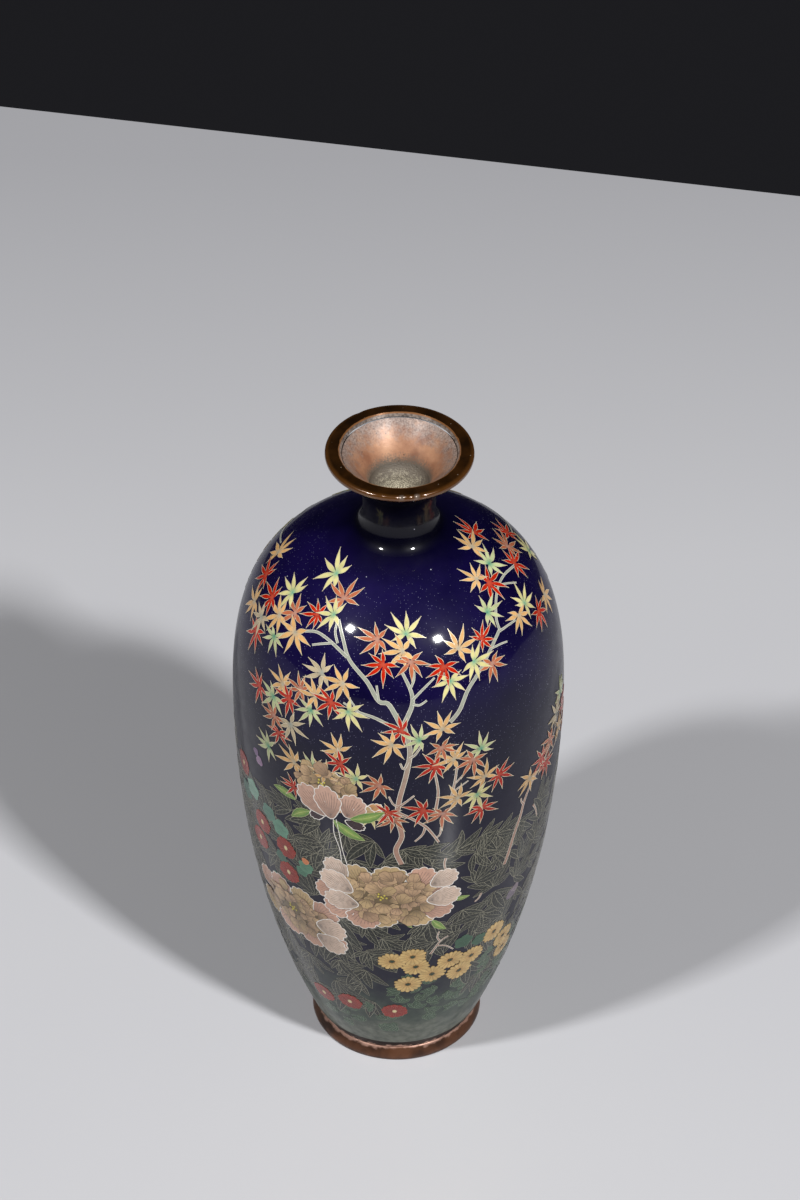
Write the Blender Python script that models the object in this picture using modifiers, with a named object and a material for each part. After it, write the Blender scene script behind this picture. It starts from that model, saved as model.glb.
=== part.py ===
"""A slender cloisonne vase: a copper vessel under cobalt enamel, with enamel inlays.

Metres, +Z up. The origin is the centre of the foot's underside. Angles on the vase are in
degrees from the front (-Y), growing towards +X. The copper vessel is turned in two lengths,
belly and neck; the enamel coats lie outside and inside it; a rim ring and a foot ring finish
its ends; flowers and maple trunks are enamel inlays seated in pockets of the ground enamel.
"""
import math

import bmesh
import bpy
from mathutils import Matrix, Vector

# Outer profile, from the foot up: heights of its stretches, and the radii where they meet.
FOOT_HEIGHT = 0.0070          # underside of the foot to the enamel's lower edge
FLANK_HEIGHT = 0.1050         # enamel's lower edge to the widest place
SHOULDER_HEIGHT = 0.0496      # widest place to the root of the neck
FILLET_HEIGHT = 0.0064        # root of the neck to its narrowest place
FLARE_HEIGHT = 0.0140         # narrowest place to the end of the lip
RIM_HEIGHT = 0.0030           # end of the lip to the top of the rim ring
FLANK_FOOT_RADIUS = 0.02225
BELLY_RADIUS = 0.0410
NECK_ROOT_RADIUS = 0.0120
NECK_RADIUS = 0.0088
LIP_RADIUS = 0.0153

# Handles of the profile's curves, as shares of their own stretch: (outwards, upwards).
FLANK_START = (0.44, 0.19)
FLANK_END = (1.0, 0.526)
SHOULDER_START = (0.0, 0.71)
SHOULDER_END = (0.38, 0.82)
FILLET_START = (0.57, 0.16)
FILLET_END = (1.0, 0.44)
FLARE_START = (0.0, 0.37)
FLARE_END = (0.10, 0.65)

# Walls, from the outside in, and the gap that parts neighbouring pieces.
GAP = 0.0003
GROUND_THICKNESS = 0.0012
COPPER_THICKNESS = 0.0010
LINING_THICKNESS = 0.0006
LAP_LENGTH = 0.0025           # how far the neck's copper laps under the belly's copper
THROAT_DEPTH = 0.0095         # from the top to where the bare copper funnel meets inner enamel

# Foot: a ring with a ridge, soldered under the vessel, which shows bare copper above it.
FOOT_SET_BACK = 0.00035       # how far the ring stands inside the enamel's lower edge
FOOT_RIDGE_STEP = 0.0010      # how far the ring's top stands inside its outside
FOOT_RING_WIDTH = 0.0041
FOOT_RING_HEIGHT = 0.0038
FOOT_LAND_HEIGHT = 0.0015
FOOT_ROUNDING = 0.0004
BASE_ENAMEL_THICKNESS = 0.0006

# Rim ring.
RIM_OVERHANG = 0.0026         # how far the ring stands out past the lip's end
RIM_WIDTH = 0.00345
RIM_EDGE_DROP = 0.0005        # how far the ring's top slopes down to its outer edge
RIM_EDGE_THICKNESS = 0.0013

# Inlays.
INLAY_DEPTH = 0.0005
WEDGE_REACH = 0.0100          # half the height of a cutter; it clears the wall on both sides
YELLOW_MUM_RADIUS = 0.0032
RED_MUM_RADIUS = 0.0030
TRUNK_HALF_WIDTH = 0.0009
TRUNK_TAPER = 0.3             # share of its width that a trunk loses on the way up
PATTERN_HEIGHT = 0.1616       # heights of the inlays are drawn for a neck root at this height

# Mesh fineness.
TURNS = 32
FLANK_ROWS = 6
SHOULDER_ROWS = 7
FILLET_ROWS = 3
FLARE_ROWS = 4
HEAD_SIDES = 10
PETAL_POINTS = 4
SHARP_ANGLE = math.radians(30)

ENAMEL_EDGE_Z = FOOT_HEIGHT
BELLY_Z = ENAMEL_EDGE_Z + FLANK_HEIGHT
NECK_ROOT_Z = BELLY_Z + SHOULDER_HEIGHT
NECK_Z = NECK_ROOT_Z + FILLET_HEIGHT
LIP_Z = NECK_Z + FLARE_HEIGHT
TOP_Z = LIP_Z + RIM_HEIGHT
COPPER_DEPTH = GROUND_THICKNESS + GAP
LINING_DEPTH = COPPER_DEPTH + COPPER_THICKNESS + GAP
INNER_DEPTH = LINING_DEPTH + LINING_THICKNESS
LAP_DEPTH = COPPER_DEPTH + COPPER_THICKNESS / 2
ROOT_ROW = FLANK_ROWS + SHOULDER_ROWS
FOOT_RING_RADIUS = FLANK_FOOT_RADIUS - FOOT_SET_BACK
FOOT_RIDGE_RADIUS = FOOT_RING_RADIUS - FOOT_RIDGE_STEP
FOOT_RING_BORE = FOOT_RING_RADIUS - FOOT_RING_WIDTH
RIM_RADIUS = LIP_RADIUS + RIM_OVERHANG
RIM_BORE = RIM_RADIUS - RIM_WIDTH
THROAT_HEIGHT = TOP_Z - THROAT_DEPTH

# Flower heads as (angle, height), nearest the viewer first: a head lies over the ones after it.
YELLOW_MUMS = [
    (6.5, 0.0503), (-2, 0.0485), (8, 0.0458), (23, 0.0460), (15.5, 0.0415), (33.5, 0.0445),
    (28.5, 0.0398), (5, 0.0380), (44, 0.0500), (52, 0.0445), (55, 0.0385),
    (196, 0.0495), (205, 0.0470), (213, 0.0505), (207, 0.0415), (221, 0.0455),
]
RED_MUMS = [
    (-44, 0.0815), (-44, 0.0727), (-57, 0.0840), (-60, 0.0770), (-69, 0.0975), (-1, 0.0248),
    (-24, 0.0263), (-40, 0.0250), (116, 0.0860), (127, 0.0800), (170, 0.0300), (184, 0.0260),
]
# Peonies as name: (angle, height, half width, half height, petals).
PEONIES = {
    "front": (-3.5, 0.0745, 0.0158, 0.0112, 9),
    "left": (-43, 0.0580, 0.0138, 0.0100, 8),
    "upper": (-22, 0.1066, 0.0100, 0.0074, 7),
    "back": (160, 0.0740, 0.0150, 0.0112, 9),
    "back_left": (226, 0.0640, 0.0130, 0.0100, 8),
    "back_upper": (203, 0.1060, 0.0100, 0.0076, 7),
}
PETAL_DEPTH = 0.09            # how deep the notches between petals are, as a share of the radius
# Maple trunks as name: points (angle, height) from the root up.
TRUNKS = {
    "front": [(2, 0.0890), (0.5, 0.1000), (0.5, 0.1080), (2.5, 0.1150), (3.5, 0.1250), (2.5, 0.1320)],
    "right": [(43.5, 0.0760), (46, 0.0860), (49, 0.0930), (50, 0.0990)],
    "back": [(180, 0.0880), (178, 0.1000), (181, 0.1120), (179, 0.1240), (182, 0.1330)],
}


def curve_points(start, start_handle, end_handle, end, rows):
    """Points (radius, height) of a Bezier stretch; handles are shares (outwards, upwards)."""
    span = end - start
    first = start + Vector((span.x * start_handle[0], span.y * start_handle[1]))
    second = start + Vector((span.x * end_handle[0], span.y * end_handle[1]))
    points = []
    for row in range(rows + 1):
        t = row / rows
        points.append(
            start * (1 - t) ** 3 + first * 3 * t * (1 - t) ** 2
            + second * 3 * t * t * (1 - t) + end * t ** 3
        )
    return points


def outer_profile():
    """Outer profile from the enamel's lower edge, over belly and neck, to the end of the lip."""
    edge = Vector((FLANK_FOOT_RADIUS, ENAMEL_EDGE_Z))
    belly = Vector((BELLY_RADIUS, BELLY_Z))
    root = Vector((NECK_ROOT_RADIUS, NECK_ROOT_Z))
    waist = Vector((NECK_RADIUS, NECK_Z))
    lip = Vector((LIP_RADIUS, LIP_Z))
    points = curve_points(edge, FLANK_START, FLANK_END, belly, FLANK_ROWS)
    points += curve_points(belly, SHOULDER_START, SHOULDER_END, root, SHOULDER_ROWS)[1:]
    points += curve_points(root, FILLET_START, FILLET_END, waist, FILLET_ROWS)[1:]
    points += curve_points(waist, FLARE_START, FLARE_END, lip, FLARE_ROWS)[1:]
    return points


def inward(points, depth):
    """The same profile, moved into the wall by depth, square to the surface."""
    moved = []
    for index, point in enumerate(points):
        before = points[max(index - 1, 0)]
        after = points[min(index + 1, len(points) - 1)]
        along = (after - before).normalized()
        moved.append(point + Vector((-along.y, along.x)) * depth)
    return moved


def belly_line(depth):
    """The belly's line at a depth in the wall, from the foot up to the neck's root."""
    return inward(outer_profile(), depth)[:ROOT_ROW + 1]


def neck_line(depth):
    """The neck's line at a depth, from a gap above its root up to the lip."""
    line = inward(outer_profile(), depth)[ROOT_ROW:]
    line[0] = shifted(line[0], line[1], GAP)
    return line


def cut_at(line, height):
    """A rising line, ended at a height."""
    below = [point for point in line if point.y < height]
    above = line[len(below)]
    share = (height - below[-1].y) / (above.y - below[-1].y)
    return below + [below[-1].lerp(above, share)]


def shifted(point, towards, distance):
    """A point moved a distance towards another."""
    return point + (towards - point).normalized() * distance


def profile_at(height):
    """Radius and upward direction (radial, vertical) of the outer profile at a height."""
    points = outer_profile()
    for low, high in zip(points, points[1:]):
        if height <= high.y:
            break
    share = (height - low.y) / (high.y - low.y)
    return low.x + (high.x - low.x) * share, (high - low).normalized()


def on_vase(angle, drawn_height):
    """Point on the outer surface; the height is stretched with the belly."""
    height = drawn_height * NECK_ROOT_Z / PATTERN_HEIGHT
    radius, _ = profile_at(height)
    turn = math.radians(angle)
    return Vector((radius * math.sin(turn), -radius * math.cos(turn), height))


def tangent_frame(angle, drawn_height):
    """Matrix of a frame on the surface: x to the right, y up the slope, z outwards."""
    turn = math.radians(angle)
    centre = on_vase(angle, drawn_height)
    _, along = profile_at(centre.z)
    right = Vector((math.cos(turn), math.sin(turn), 0))
    up = Vector((along.x * math.sin(turn), -along.x * math.cos(turn), along.y))
    frame = Matrix((right, up, right.cross(up))).transposed().to_4x4()
    frame.translation = centre
    return frame


def new_collection(name):
    collection = bpy.data.collections.new(name)
    bpy.context.scene.collection.children.link(collection)
    return collection


def new_material(name, color, roughness, metallic=0.0):
    """A plain Principled material."""
    material = bpy.data.materials.new(name)
    material.use_nodes = True
    shader = material.node_tree.nodes["Principled BSDF"]
    shader.inputs["Base Color"].default_value = (*color, 1)
    shader.inputs["Roughness"].default_value = roughness
    shader.inputs["Metallic"].default_value = metallic
    material.diffuse_color = (*color, 1)
    return material


def turned(name, section, material, collection):
    """A solid of revolution about Z from a closed section of (radius, height) points."""
    mesh = bpy.data.meshes.new(name)
    edges = [
        (index, (index + 1) % len(section))
        for index in range(len(section))
        if section[index].x > 0 or section[(index + 1) % len(section)].x > 0
    ]
    mesh.from_pydata([(point.x, 0, point.y) for point in section], edges, [])
    if material:
        mesh.materials.append(material)
    obj = bpy.data.objects.new(name, mesh)
    collection.objects.link(obj)
    screw = obj.modifiers.new("turn", "SCREW")
    screw.axis = "Z"
    screw.steps = TURNS
    screw.render_steps = TURNS
    screw.use_merge_vertices = True
    screw.merge_threshold = 0.00001
    return obj


def boolean(obj, operation, other):
    modifier = obj.modifiers.new(operation.lower(), "BOOLEAN")
    modifier.operation = operation
    modifier.solver = "EXACT"
    modifier.object = other


def grown(outline, amount):
    """A flat outline moved outwards by amount, its corners mitred."""
    result = []
    for index, point in enumerate(outline):
        before = (point - outline[index - 1]).normalized()
        after = (outline[(index + 1) % len(outline)] - point).normalized()
        normal = Vector((before.y + after.y, -before.x - after.x))
        result.append(point + normal * (amount / max(normal.length_squared / 2, 0.5)))
    return result


def wedge(name, outline, frame, collection):
    """A solid through the wall that narrows towards the vase's axis, from a flat outline.

    Neighbouring wedges never close in on each other with depth, so what stands between two
    pockets always stays joined to the ground below it.
    """
    curve = bpy.data.curves.new("outline", "CURVE")
    curve.dimensions = "2D"
    curve.fill_mode = "BOTH"
    curve.extrude = WEDGE_REACH
    spline = curve.splines.new("POLY")
    spline.points.add(len(outline) - 1)
    for place, point in zip(spline.points, outline):
        place.co = (point.x, point.y, 0, 1)
    spline.use_cyclic_u = True
    drawn = bpy.data.objects.new("outline", curve)
    collection.objects.link(drawn)
    drawn.matrix_world = frame
    bpy.context.view_layer.update()
    mesh = bpy.data.meshes.new_from_object(drawn.evaluated_get(bpy.context.evaluated_depsgraph_get()))
    weld(mesh)
    for vertex in mesh.vertices:
        vertex.co.xy *= spread(frame, vertex.co.z)
    bpy.data.objects.remove(drawn)
    solid = bpy.data.objects.new(name, mesh)
    collection.objects.link(solid)
    solid.matrix_world = frame
    return solid


def spread(frame, height):
    """How much wider a wedge is at a height over its frame than at the frame."""
    return 1 + height / frame.translation.to_2d().length


def weld(mesh):
    """Close a filled curve's caps onto its sides."""
    shape = bmesh.new()
    shape.from_mesh(mesh)
    bmesh.ops.remove_doubles(shape, verts=shape.verts, dist=0.000001)
    bmesh.ops.recalc_face_normals(shape, faces=shape.faces)
    shape.to_mesh(mesh)
    shape.free()


def smooth_mesh(obj):
    """Apply the modifiers and shade the result smooth between its sharp edges."""
    bpy.context.view_layer.update()
    evaluated = obj.evaluated_get(bpy.context.evaluated_depsgraph_get())
    mesh = bpy.data.meshes.new_from_object(evaluated)
    obj.modifiers.clear()
    obj.data = mesh
    mesh.shade_smooth()
    mesh.set_sharp_from_angle(angle=SHARP_ANGLE)


def head_outline(radius):
    """The round outline of a chrysanthemum head."""
    turns = [2 * math.pi * side / HEAD_SIDES for side in range(HEAD_SIDES)]
    return [Vector((radius * math.cos(turn), radius * math.sin(turn))) for turn in turns]


def peony_outline(half_width, half_height, petals):
    """An oval with a round lobe for each outer petal."""
    points = []
    for step in range(petals * PETAL_POINTS):
        turn = 2 * math.pi * step / (petals * PETAL_POINTS)
        lobe = 1 - PETAL_DEPTH * (1 - abs(math.sin(petals * turn / 2)))
        points.append(Vector((half_width * lobe * math.cos(turn), half_height * lobe * math.sin(turn))))
    return points


def trunk_outline(points, frame):
    """A strip along surface points, tapering upwards, flattened into the frame's plane."""
    local = [frame.inverted() @ on_vase(*point) for point in points]
    flat = [point.to_2d() / spread(frame, point.z) for point in local]
    left = []
    right = []
    for index, point in enumerate(flat):
        along = (flat[min(index + 1, len(flat) - 1)] - flat[max(index - 1, 0)]).normalized()
        half_width = TRUNK_HALF_WIDTH * (1 - TRUNK_TAPER * index / (len(flat) - 1))
        side = Vector((along.y, -along.x)) * half_width
        right.append(point + side)
        left.append(point - side)
    return right + left[::-1]


def motifs(materials):
    """Every inlay as (name, outline, frame, material, reach), the ones on top first."""
    found = []
    for kind, places, radius in (("yellow", YELLOW_MUMS, YELLOW_MUM_RADIUS), ("red", RED_MUMS, RED_MUM_RADIUS)):
        for number, place in enumerate(places, 1):
            name = f"mum_{kind}_{number:02d}"
            found.append((name, head_outline(radius), tangent_frame(*place), materials[kind], radius))
    for name, (angle, height, half_width, half_height, petals) in PEONIES.items():
        outline = peony_outline(half_width, half_height, petals)
        frame = tangent_frame(angle, height)
        found.append((f"peony_{name}", outline, frame, materials["peony"], half_width))
    for name, points in TRUNKS.items():
        frame = tangent_frame(*points[len(points) // 2])
        reach = (on_vase(*points[-1]) - on_vase(*points[0])).length / 2
        found.append((f"maple_trunk_{name}", trunk_outline(points, frame), frame, materials["bark"], reach))
    return found


def inlay_pieces(materials, parts, guides):
    """Cut each inlay from one thin layer of the wall, back around the motifs that lie over it.

    Returns the solid of all their pockets, a gap wider and deeper than the inlays.
    """
    inlay_layer = turned("inlay_layer", belly_line(0)[::-1] + belly_line(INLAY_DEPTH), None, guides)
    pocket_section = belly_line(-GAP)[::-1] + belly_line(INLAY_DEPTH + GAP)
    pocket_layer = turned("pocket_layer", pocket_section, None, guides)
    over = []
    for name, outline, frame, material, reach in motifs(materials):
        inlay = wedge(name, outline, frame, parts)
        inlay.data.materials.clear()
        inlay.data.materials.append(material)
        boolean(inlay, "INTERSECT", inlay_layer)
        for cutter, centre, cutter_reach in over:
            if (frame.translation - centre).length < reach + cutter_reach + GAP:
                boolean(inlay, "DIFFERENCE", cutter)
        cutter = wedge(f"pocket_{name}", grown(outline, GAP), frame, guides)
        over.append((cutter, frame.translation, reach))
    pockets = over[0][0].copy()
    pockets.data = pockets.data.copy()
    guides.objects.link(pockets)
    for cutter, _, _ in over[1:]:
        boolean(pockets, "UNION", cutter)
    boolean(pockets, "INTERSECT", pocket_layer)
    for guide in guides.objects:
        guide.hide_render = True
        guide.display_type = "WIRE"
    return pockets


def copper_belly(material, parts):
    """The belly's copper: bare above the foot ring, thinned at the top to lap over the neck's."""
    outer = belly_line(COPPER_DEPTH)
    inner = belly_line(COPPER_DEPTH + COPPER_THICKNESS)
    step = belly_line(LAP_DEPTH - GAP / 2)
    skirt_z = FOOT_RING_HEIGHT + GAP
    skirt = [Vector((outer[0].x, skirt_z)), Vector((inner[0].x, skirt_z))]
    lap = [
        shifted(inner[-1], inner[-2], LAP_LENGTH),
        shifted(step[-1], step[-2], LAP_LENGTH),
        step[-1],
    ]
    turned("vessel_core", outer[::-1] + skirt + inner[:-1] + lap, material, parts)


def copper_neck(material, parts):
    """The neck's copper, flared into a funnel above, with a tongue that laps under the belly's."""
    outer = neck_line(COPPER_DEPTH)
    inner = neck_line(COPPER_DEPTH + COPPER_THICKNESS)
    step = neck_line(LAP_DEPTH + GAP / 2)
    tongue_top = belly_line(LAP_DEPTH + GAP / 2)
    tongue_bottom = belly_line(COPPER_DEPTH + COPPER_THICKNESS)
    reach = LAP_LENGTH - GAP
    tongue = [
        step[0],
        tongue_top[-1],
        shifted(tongue_top[-1], tongue_top[-2], reach),
        shifted(tongue_bottom[-1], tongue_bottom[-2], reach),
        tongue_bottom[-1],
    ]
    turned("neck_core", outer[::-1] + tongue + inner, material, parts)


def coats(material, parts):
    """Ground enamel over the belly and neck."""
    turned("neck_enamel", neck_line(0)[::-1] + neck_line(GROUND_THICKNESS), material, parts)
    return turned("ground_enamel", belly_line(0)[::-1] + belly_line(GROUND_THICKNESS), material, parts)


def lining(material, parts):
    """The enamel inside: a floor over the base plate, and the wall up to the throat."""
    outer = cut_at(inward(outer_profile(), LINING_DEPTH), THROAT_HEIGHT)
    inner = cut_at(inward(outer_profile(), INNER_DEPTH), THROAT_HEIGHT)
    floor = FOOT_RING_HEIGHT + GAP + COPPER_THICKNESS + GAP
    cup = [
        Vector((outer[0].x, floor)),
        Vector((0, floor)),
        Vector((0, floor + LINING_THICKNESS)),
        Vector((inner[0].x, floor + LINING_THICKNESS)),
    ]
    turned("lining_enamel", outer[::-1] + cup + inner, material, parts)


def foot(materials, parts):
    """The foot ring, the base plate soldered inside the vessel's skirt, and its enamel."""
    corner = FOOT_ROUNDING
    ring = [
        Vector((FOOT_RING_BORE, FOOT_RING_HEIGHT)),
        Vector((FOOT_RIDGE_RADIUS, FOOT_RING_HEIGHT)),
        Vector((FOOT_RING_RADIUS, FOOT_LAND_HEIGHT)),
        Vector((FOOT_RING_RADIUS, corner)),
        Vector((FOOT_RING_RADIUS - corner, 0)),
        Vector((FOOT_RING_BORE + corner, 0)),
        Vector((FOOT_RING_BORE, corner)),
    ]
    turned("foot_ring", ring[1:] + ring[:1], materials["copper"], parts)
    skirt = belly_line(COPPER_DEPTH + COPPER_THICKNESS)[0].x
    plate_z = FOOT_RING_HEIGHT + GAP
    turned("base_plate", disc(skirt - GAP, plate_z, COPPER_THICKNESS), materials["copper"], parts)
    enamel_z = FOOT_RING_HEIGHT - BASE_ENAMEL_THICKNESS
    enamel = disc(FOOT_RING_BORE - GAP, enamel_z, BASE_ENAMEL_THICKNESS)
    turned("base_enamel", enamel, materials["lining"], parts)


def disc(radius, bottom, thickness):
    """Section of a plain disc."""
    top = bottom + thickness
    return [Vector((0, top)), Vector((radius, top)), Vector((radius, bottom)), Vector((0, bottom))]


def rim(material, parts):
    """The rim ring: a bevelled ring that sits on the lip's end and overhangs the neck."""
    below, lip = outer_profile()[-2:]
    along = (lip - below).normalized()
    seat = lip + along * GAP
    seat_end = seat + Vector((-along.y, along.x)) * (COPPER_DEPTH + COPPER_THICKNESS)
    edge_top = TOP_Z - RIM_EDGE_DROP
    edge_bottom = edge_top - RIM_EDGE_THICKNESS
    soften = RIM_EDGE_THICKNESS / 4
    section = [
        Vector((RIM_BORE, TOP_Z)),
        Vector(((RIM_BORE + RIM_RADIUS) / 2, TOP_Z)),
        Vector((RIM_RADIUS - soften, edge_top + soften / 2)),
        Vector((RIM_RADIUS, edge_top - soften)),
        Vector((RIM_RADIUS, edge_bottom + soften)),
        Vector((RIM_RADIUS - soften, edge_bottom)),
        Vector((seat.x + GAP, max(seat.y - GAP, edge_bottom - RIM_EDGE_DROP))),
        seat,
        seat_end,
    ]
    turned("rim_ring", section, material, parts)


def make_vase():
    for obj in list(bpy.data.objects):
        bpy.data.objects.remove(obj)
    parts = new_collection("cloisonne_vase")
    guides = new_collection("cutters")
    materials = {
        "ground": new_material("cobalt_enamel", (0.008, 0.006, 0.045), 0.12),
        "lining": new_material("counter_enamel", (0.36, 0.33, 0.27), 0.5),
        "copper": new_material("copper", (0.45, 0.2, 0.11), 0.4, 1.0),
        "bronze": new_material("patinated_rim", (0.10, 0.045, 0.012), 0.25, 0.8),
        "yellow": new_material("yellow_enamel", (0.75, 0.5, 0.15), 0.15),
        "red": new_material("red_enamel", (0.45, 0.05, 0.03), 0.15),
        "peony": new_material("peony_enamel", (0.72, 0.48, 0.36), 0.15),
        "bark": new_material("bark_enamel", (0.55, 0.47, 0.4), 0.15),
    }
    pockets = inlay_pieces(materials, parts, guides)
    ground = coats(materials["ground"], parts)
    boolean(ground, "DIFFERENCE", pockets)
    lining(materials["lining"], parts)
    copper_belly(materials["copper"], parts)
    copper_neck(materials["copper"], parts)
    foot(materials, parts)
    rim(materials["bronze"], parts)
    for obj in parts.objects:
        if obj.modifiers:
            smooth_mesh(obj)


make_vase()
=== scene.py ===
"""The cloisonne vase's visible skin, its materials, floor, lights and camera.

Lengths of the drawing are in millimetres and angles in degrees from the front, growing to the
right; a heading is the compass direction of a shape laid on the vase, 0 up and 90 right.
Positions inside materials are in metres.
"""

import bisect
import math
import random

import bmesh
import bpy
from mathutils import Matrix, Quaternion, Vector


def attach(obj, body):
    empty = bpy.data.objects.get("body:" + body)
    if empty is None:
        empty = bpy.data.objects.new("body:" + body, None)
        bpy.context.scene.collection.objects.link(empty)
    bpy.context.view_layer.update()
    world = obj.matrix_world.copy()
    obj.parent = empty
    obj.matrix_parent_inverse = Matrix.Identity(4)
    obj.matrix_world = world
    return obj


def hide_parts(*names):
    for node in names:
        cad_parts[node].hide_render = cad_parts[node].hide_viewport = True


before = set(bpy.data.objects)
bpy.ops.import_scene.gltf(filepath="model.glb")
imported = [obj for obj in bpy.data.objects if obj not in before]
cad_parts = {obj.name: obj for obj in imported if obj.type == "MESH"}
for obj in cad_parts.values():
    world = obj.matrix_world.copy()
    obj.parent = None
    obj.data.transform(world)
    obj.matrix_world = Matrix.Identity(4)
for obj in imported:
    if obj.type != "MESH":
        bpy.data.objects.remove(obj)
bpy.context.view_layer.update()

MM = 0.001

# The vessel, as the CAD part has it.
ENAMEL_EDGE = (22.25, 7.0)
WIDEST = (41.0, 112.0)
NECK_ROOT = (12.0, 161.6)
WAIST = (8.8, 168.0)
LIP = (15.3, 182.0)
FLANK_HANDLES = ((0.44, 0.19), (1.0, 0.526))
SHOULDER_HANDLES = ((0.0, 0.71), (0.38, 0.82))
FILLET_HANDLES = ((0.57, 0.16), (1.0, 0.44))
FLARE_HANDLES = ((0.0, 0.37), (0.10, 0.65))
GAP = 0.3
GROUND = 1.2
COPPER = 1.0
LINING = 0.6
THROAT_Z = 175.5
FOOT_RING_TOP = 3.8
FOOT_RING_BORE = 17.8
FOOT_RING_RADIUS = 21.9
RIM_BORE = 14.45
RIM_RADIUS = 17.9
TOP_Z = 185.0

TURNS = 192
FLANK_ROWS = 110
SHOULDER_ROWS = 90
FILLET_ROWS = 24
FLARE_ROWS = 40

# How far pieces of the drawing stand over the ground enamel, and the steps between levels.
SINK = 0.05                   # the sides of a cell go this far into the wall
LOBE_STEP = 0.002
RIDGE = 0.004                 # of a wire over its cell
FOLIAGE_LIFT = 0.008
FOLIAGE_STEP = 0.009
BRANCH_LIFT = 0.062
FLOWER_LIFT = 0.070
LEAF_LIFT = 0.088
LEVEL_STEP = 0.010

# Widths of wires.
STEM_WIDTH = 0.22
BARK_WIRE_WIDTH = 0.14
LEAF_WIRE_WIDTH = 0.13
PETAL_VEIN_WIDTH = 0.14
MUM_WIRE_WIDTH = 0.08
VEIN_WIDTH = 0.07


def tone(red, green, blue):
    """A colour given as it looks, 0 to 255, in the linear values that shaders use."""
    return tuple((channel / 255) ** 2.2 for channel in (red, green, blue))


def mixed(first, second, share):
    return tuple(a + (b - a) * share for a, b in zip(first, second))


def shaded(color, factor):
    return tuple(channel * factor for channel in color)


def held(share):
    """A share, kept between 0 and 1."""
    return max(0, min(1, share))


# ---- the wall and places on it


def curve_points(start, end, handles, rows):
    """Points (radius, height) of a Bezier stretch; handles are shares (outwards, upwards)."""
    start = Vector(start)
    end = Vector(end)
    span = end - start
    first, second = [start + Vector((span.x * share[0], span.y * share[1])) for share in handles]
    points = []
    for row in range(rows + 1):
        t = row / rows
        points.append(
            start * (1 - t) ** 3 + first * 3 * t * (1 - t) ** 2
            + second * 3 * t * t * (1 - t) + end * t ** 3
        )
    return points


def inward(points, depth):
    """The same line, moved into the wall by depth, square to the surface."""
    moved = []
    for index, point in enumerate(points):
        along = (points[min(index + 1, len(points) - 1)] - points[max(index - 1, 0)]).normalized()
        moved.append(point + Vector((-along.y, along.x)) * depth)
    return moved


def bracket(values, value):
    """Index of the stretch of a rising list that holds a value, and the share of it passed."""
    low = min(max(bisect.bisect_right(values, value) - 1, 0), len(values) - 2)
    return low, (value - values[low]) / (values[low + 1] - values[low])


class Wall:
    """The outer enamel surface: a line of (radius, height), found by the length along it."""

    def __init__(self, line):
        self.line = line
        self.heights = [point.y for point in line]
        self.lengths = [0.0]
        for low, high in zip(line, line[1:]):
            self.lengths.append(self.lengths[-1] + (high - low).length)
        self.outward = []
        for index in range(len(line)):
            along = line[min(index + 1, len(line) - 1)] - line[max(index - 1, 0)]
            self.outward.append(Vector((along.y, -along.x)).normalized())

    def length_at(self, height):
        index, rest = bracket(self.heights, height)
        return self.lengths[index] + rest * (self.lengths[index + 1] - self.lengths[index])

    def at(self, length):
        """Point (radius, height) and outward direction at a length along the line."""
        index, rest = bracket(self.lengths, length)
        point = self.line[index].lerp(self.line[index + 1], rest)
        return point, self.outward[index].lerp(self.outward[index + 1], rest)


BELLY_LINE = curve_points(ENAMEL_EDGE, WIDEST, FLANK_HANDLES, FLANK_ROWS)
BELLY_LINE += curve_points(WIDEST, NECK_ROOT, SHOULDER_HANDLES, SHOULDER_ROWS)[1:]
NECK_LINE = curve_points(NECK_ROOT, WAIST, FILLET_HANDLES, FILLET_ROWS)
NECK_LINE += curve_points(WAIST, LIP, FLARE_HANDLES, FLARE_ROWS)[1:]
WALL = Wall(BELLY_LINE)


class Spot:
    """A place on the wall, with flat axes laid over it: y along the heading, x to its right."""

    def __init__(self, angle, height, heading=0.0):
        self.angle = math.radians(angle)
        self.length = WALL.length_at(height)
        self.sine = math.sin(math.radians(heading))
        self.cosine = math.cos(math.radians(heading))

    def lay(self, flat, lift):
        """Position and outward normal of a flat point, lift millimetres over the wall."""
        across = flat.x * self.cosine + flat.y * self.sine
        along = flat.y * self.cosine - flat.x * self.sine
        point, outward = WALL.at(self.length + along)
        turn = self.angle + across / point.x
        around = Vector((math.sin(turn), -math.cos(turn), 0))
        normal = around * outward.x + Vector((0, 0, outward.y))
        position = around * point.x + Vector((0, 0, point.y))
        return (position + normal * lift) * MM, normal


SCATTER_TRIES = 900


def scattered(chance, first, last, lowest, highest, spacing):
    """Places (angle, height) spread over a band, no two of them nearer than the spacing."""
    found = []
    for _ in range(SCATTER_TRIES):
        place = (chance.uniform(first, last), chance.uniform(lowest, highest))
        if all(flat_between(*place, *other).length > spacing for other in found):
            found.append(place)
    return found


def flat_between(spot_angle, spot_height, angle, height):
    """Where a point of the wall lies in the flat axes of a spot with heading 0."""
    middle, _ = WALL.at(WALL.length_at((height + spot_height) / 2))
    across = math.radians(angle - spot_angle) * middle.x
    return Vector((across, WALL.length_at(height) - WALL.length_at(spot_height)))


# ---- meshes


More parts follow.
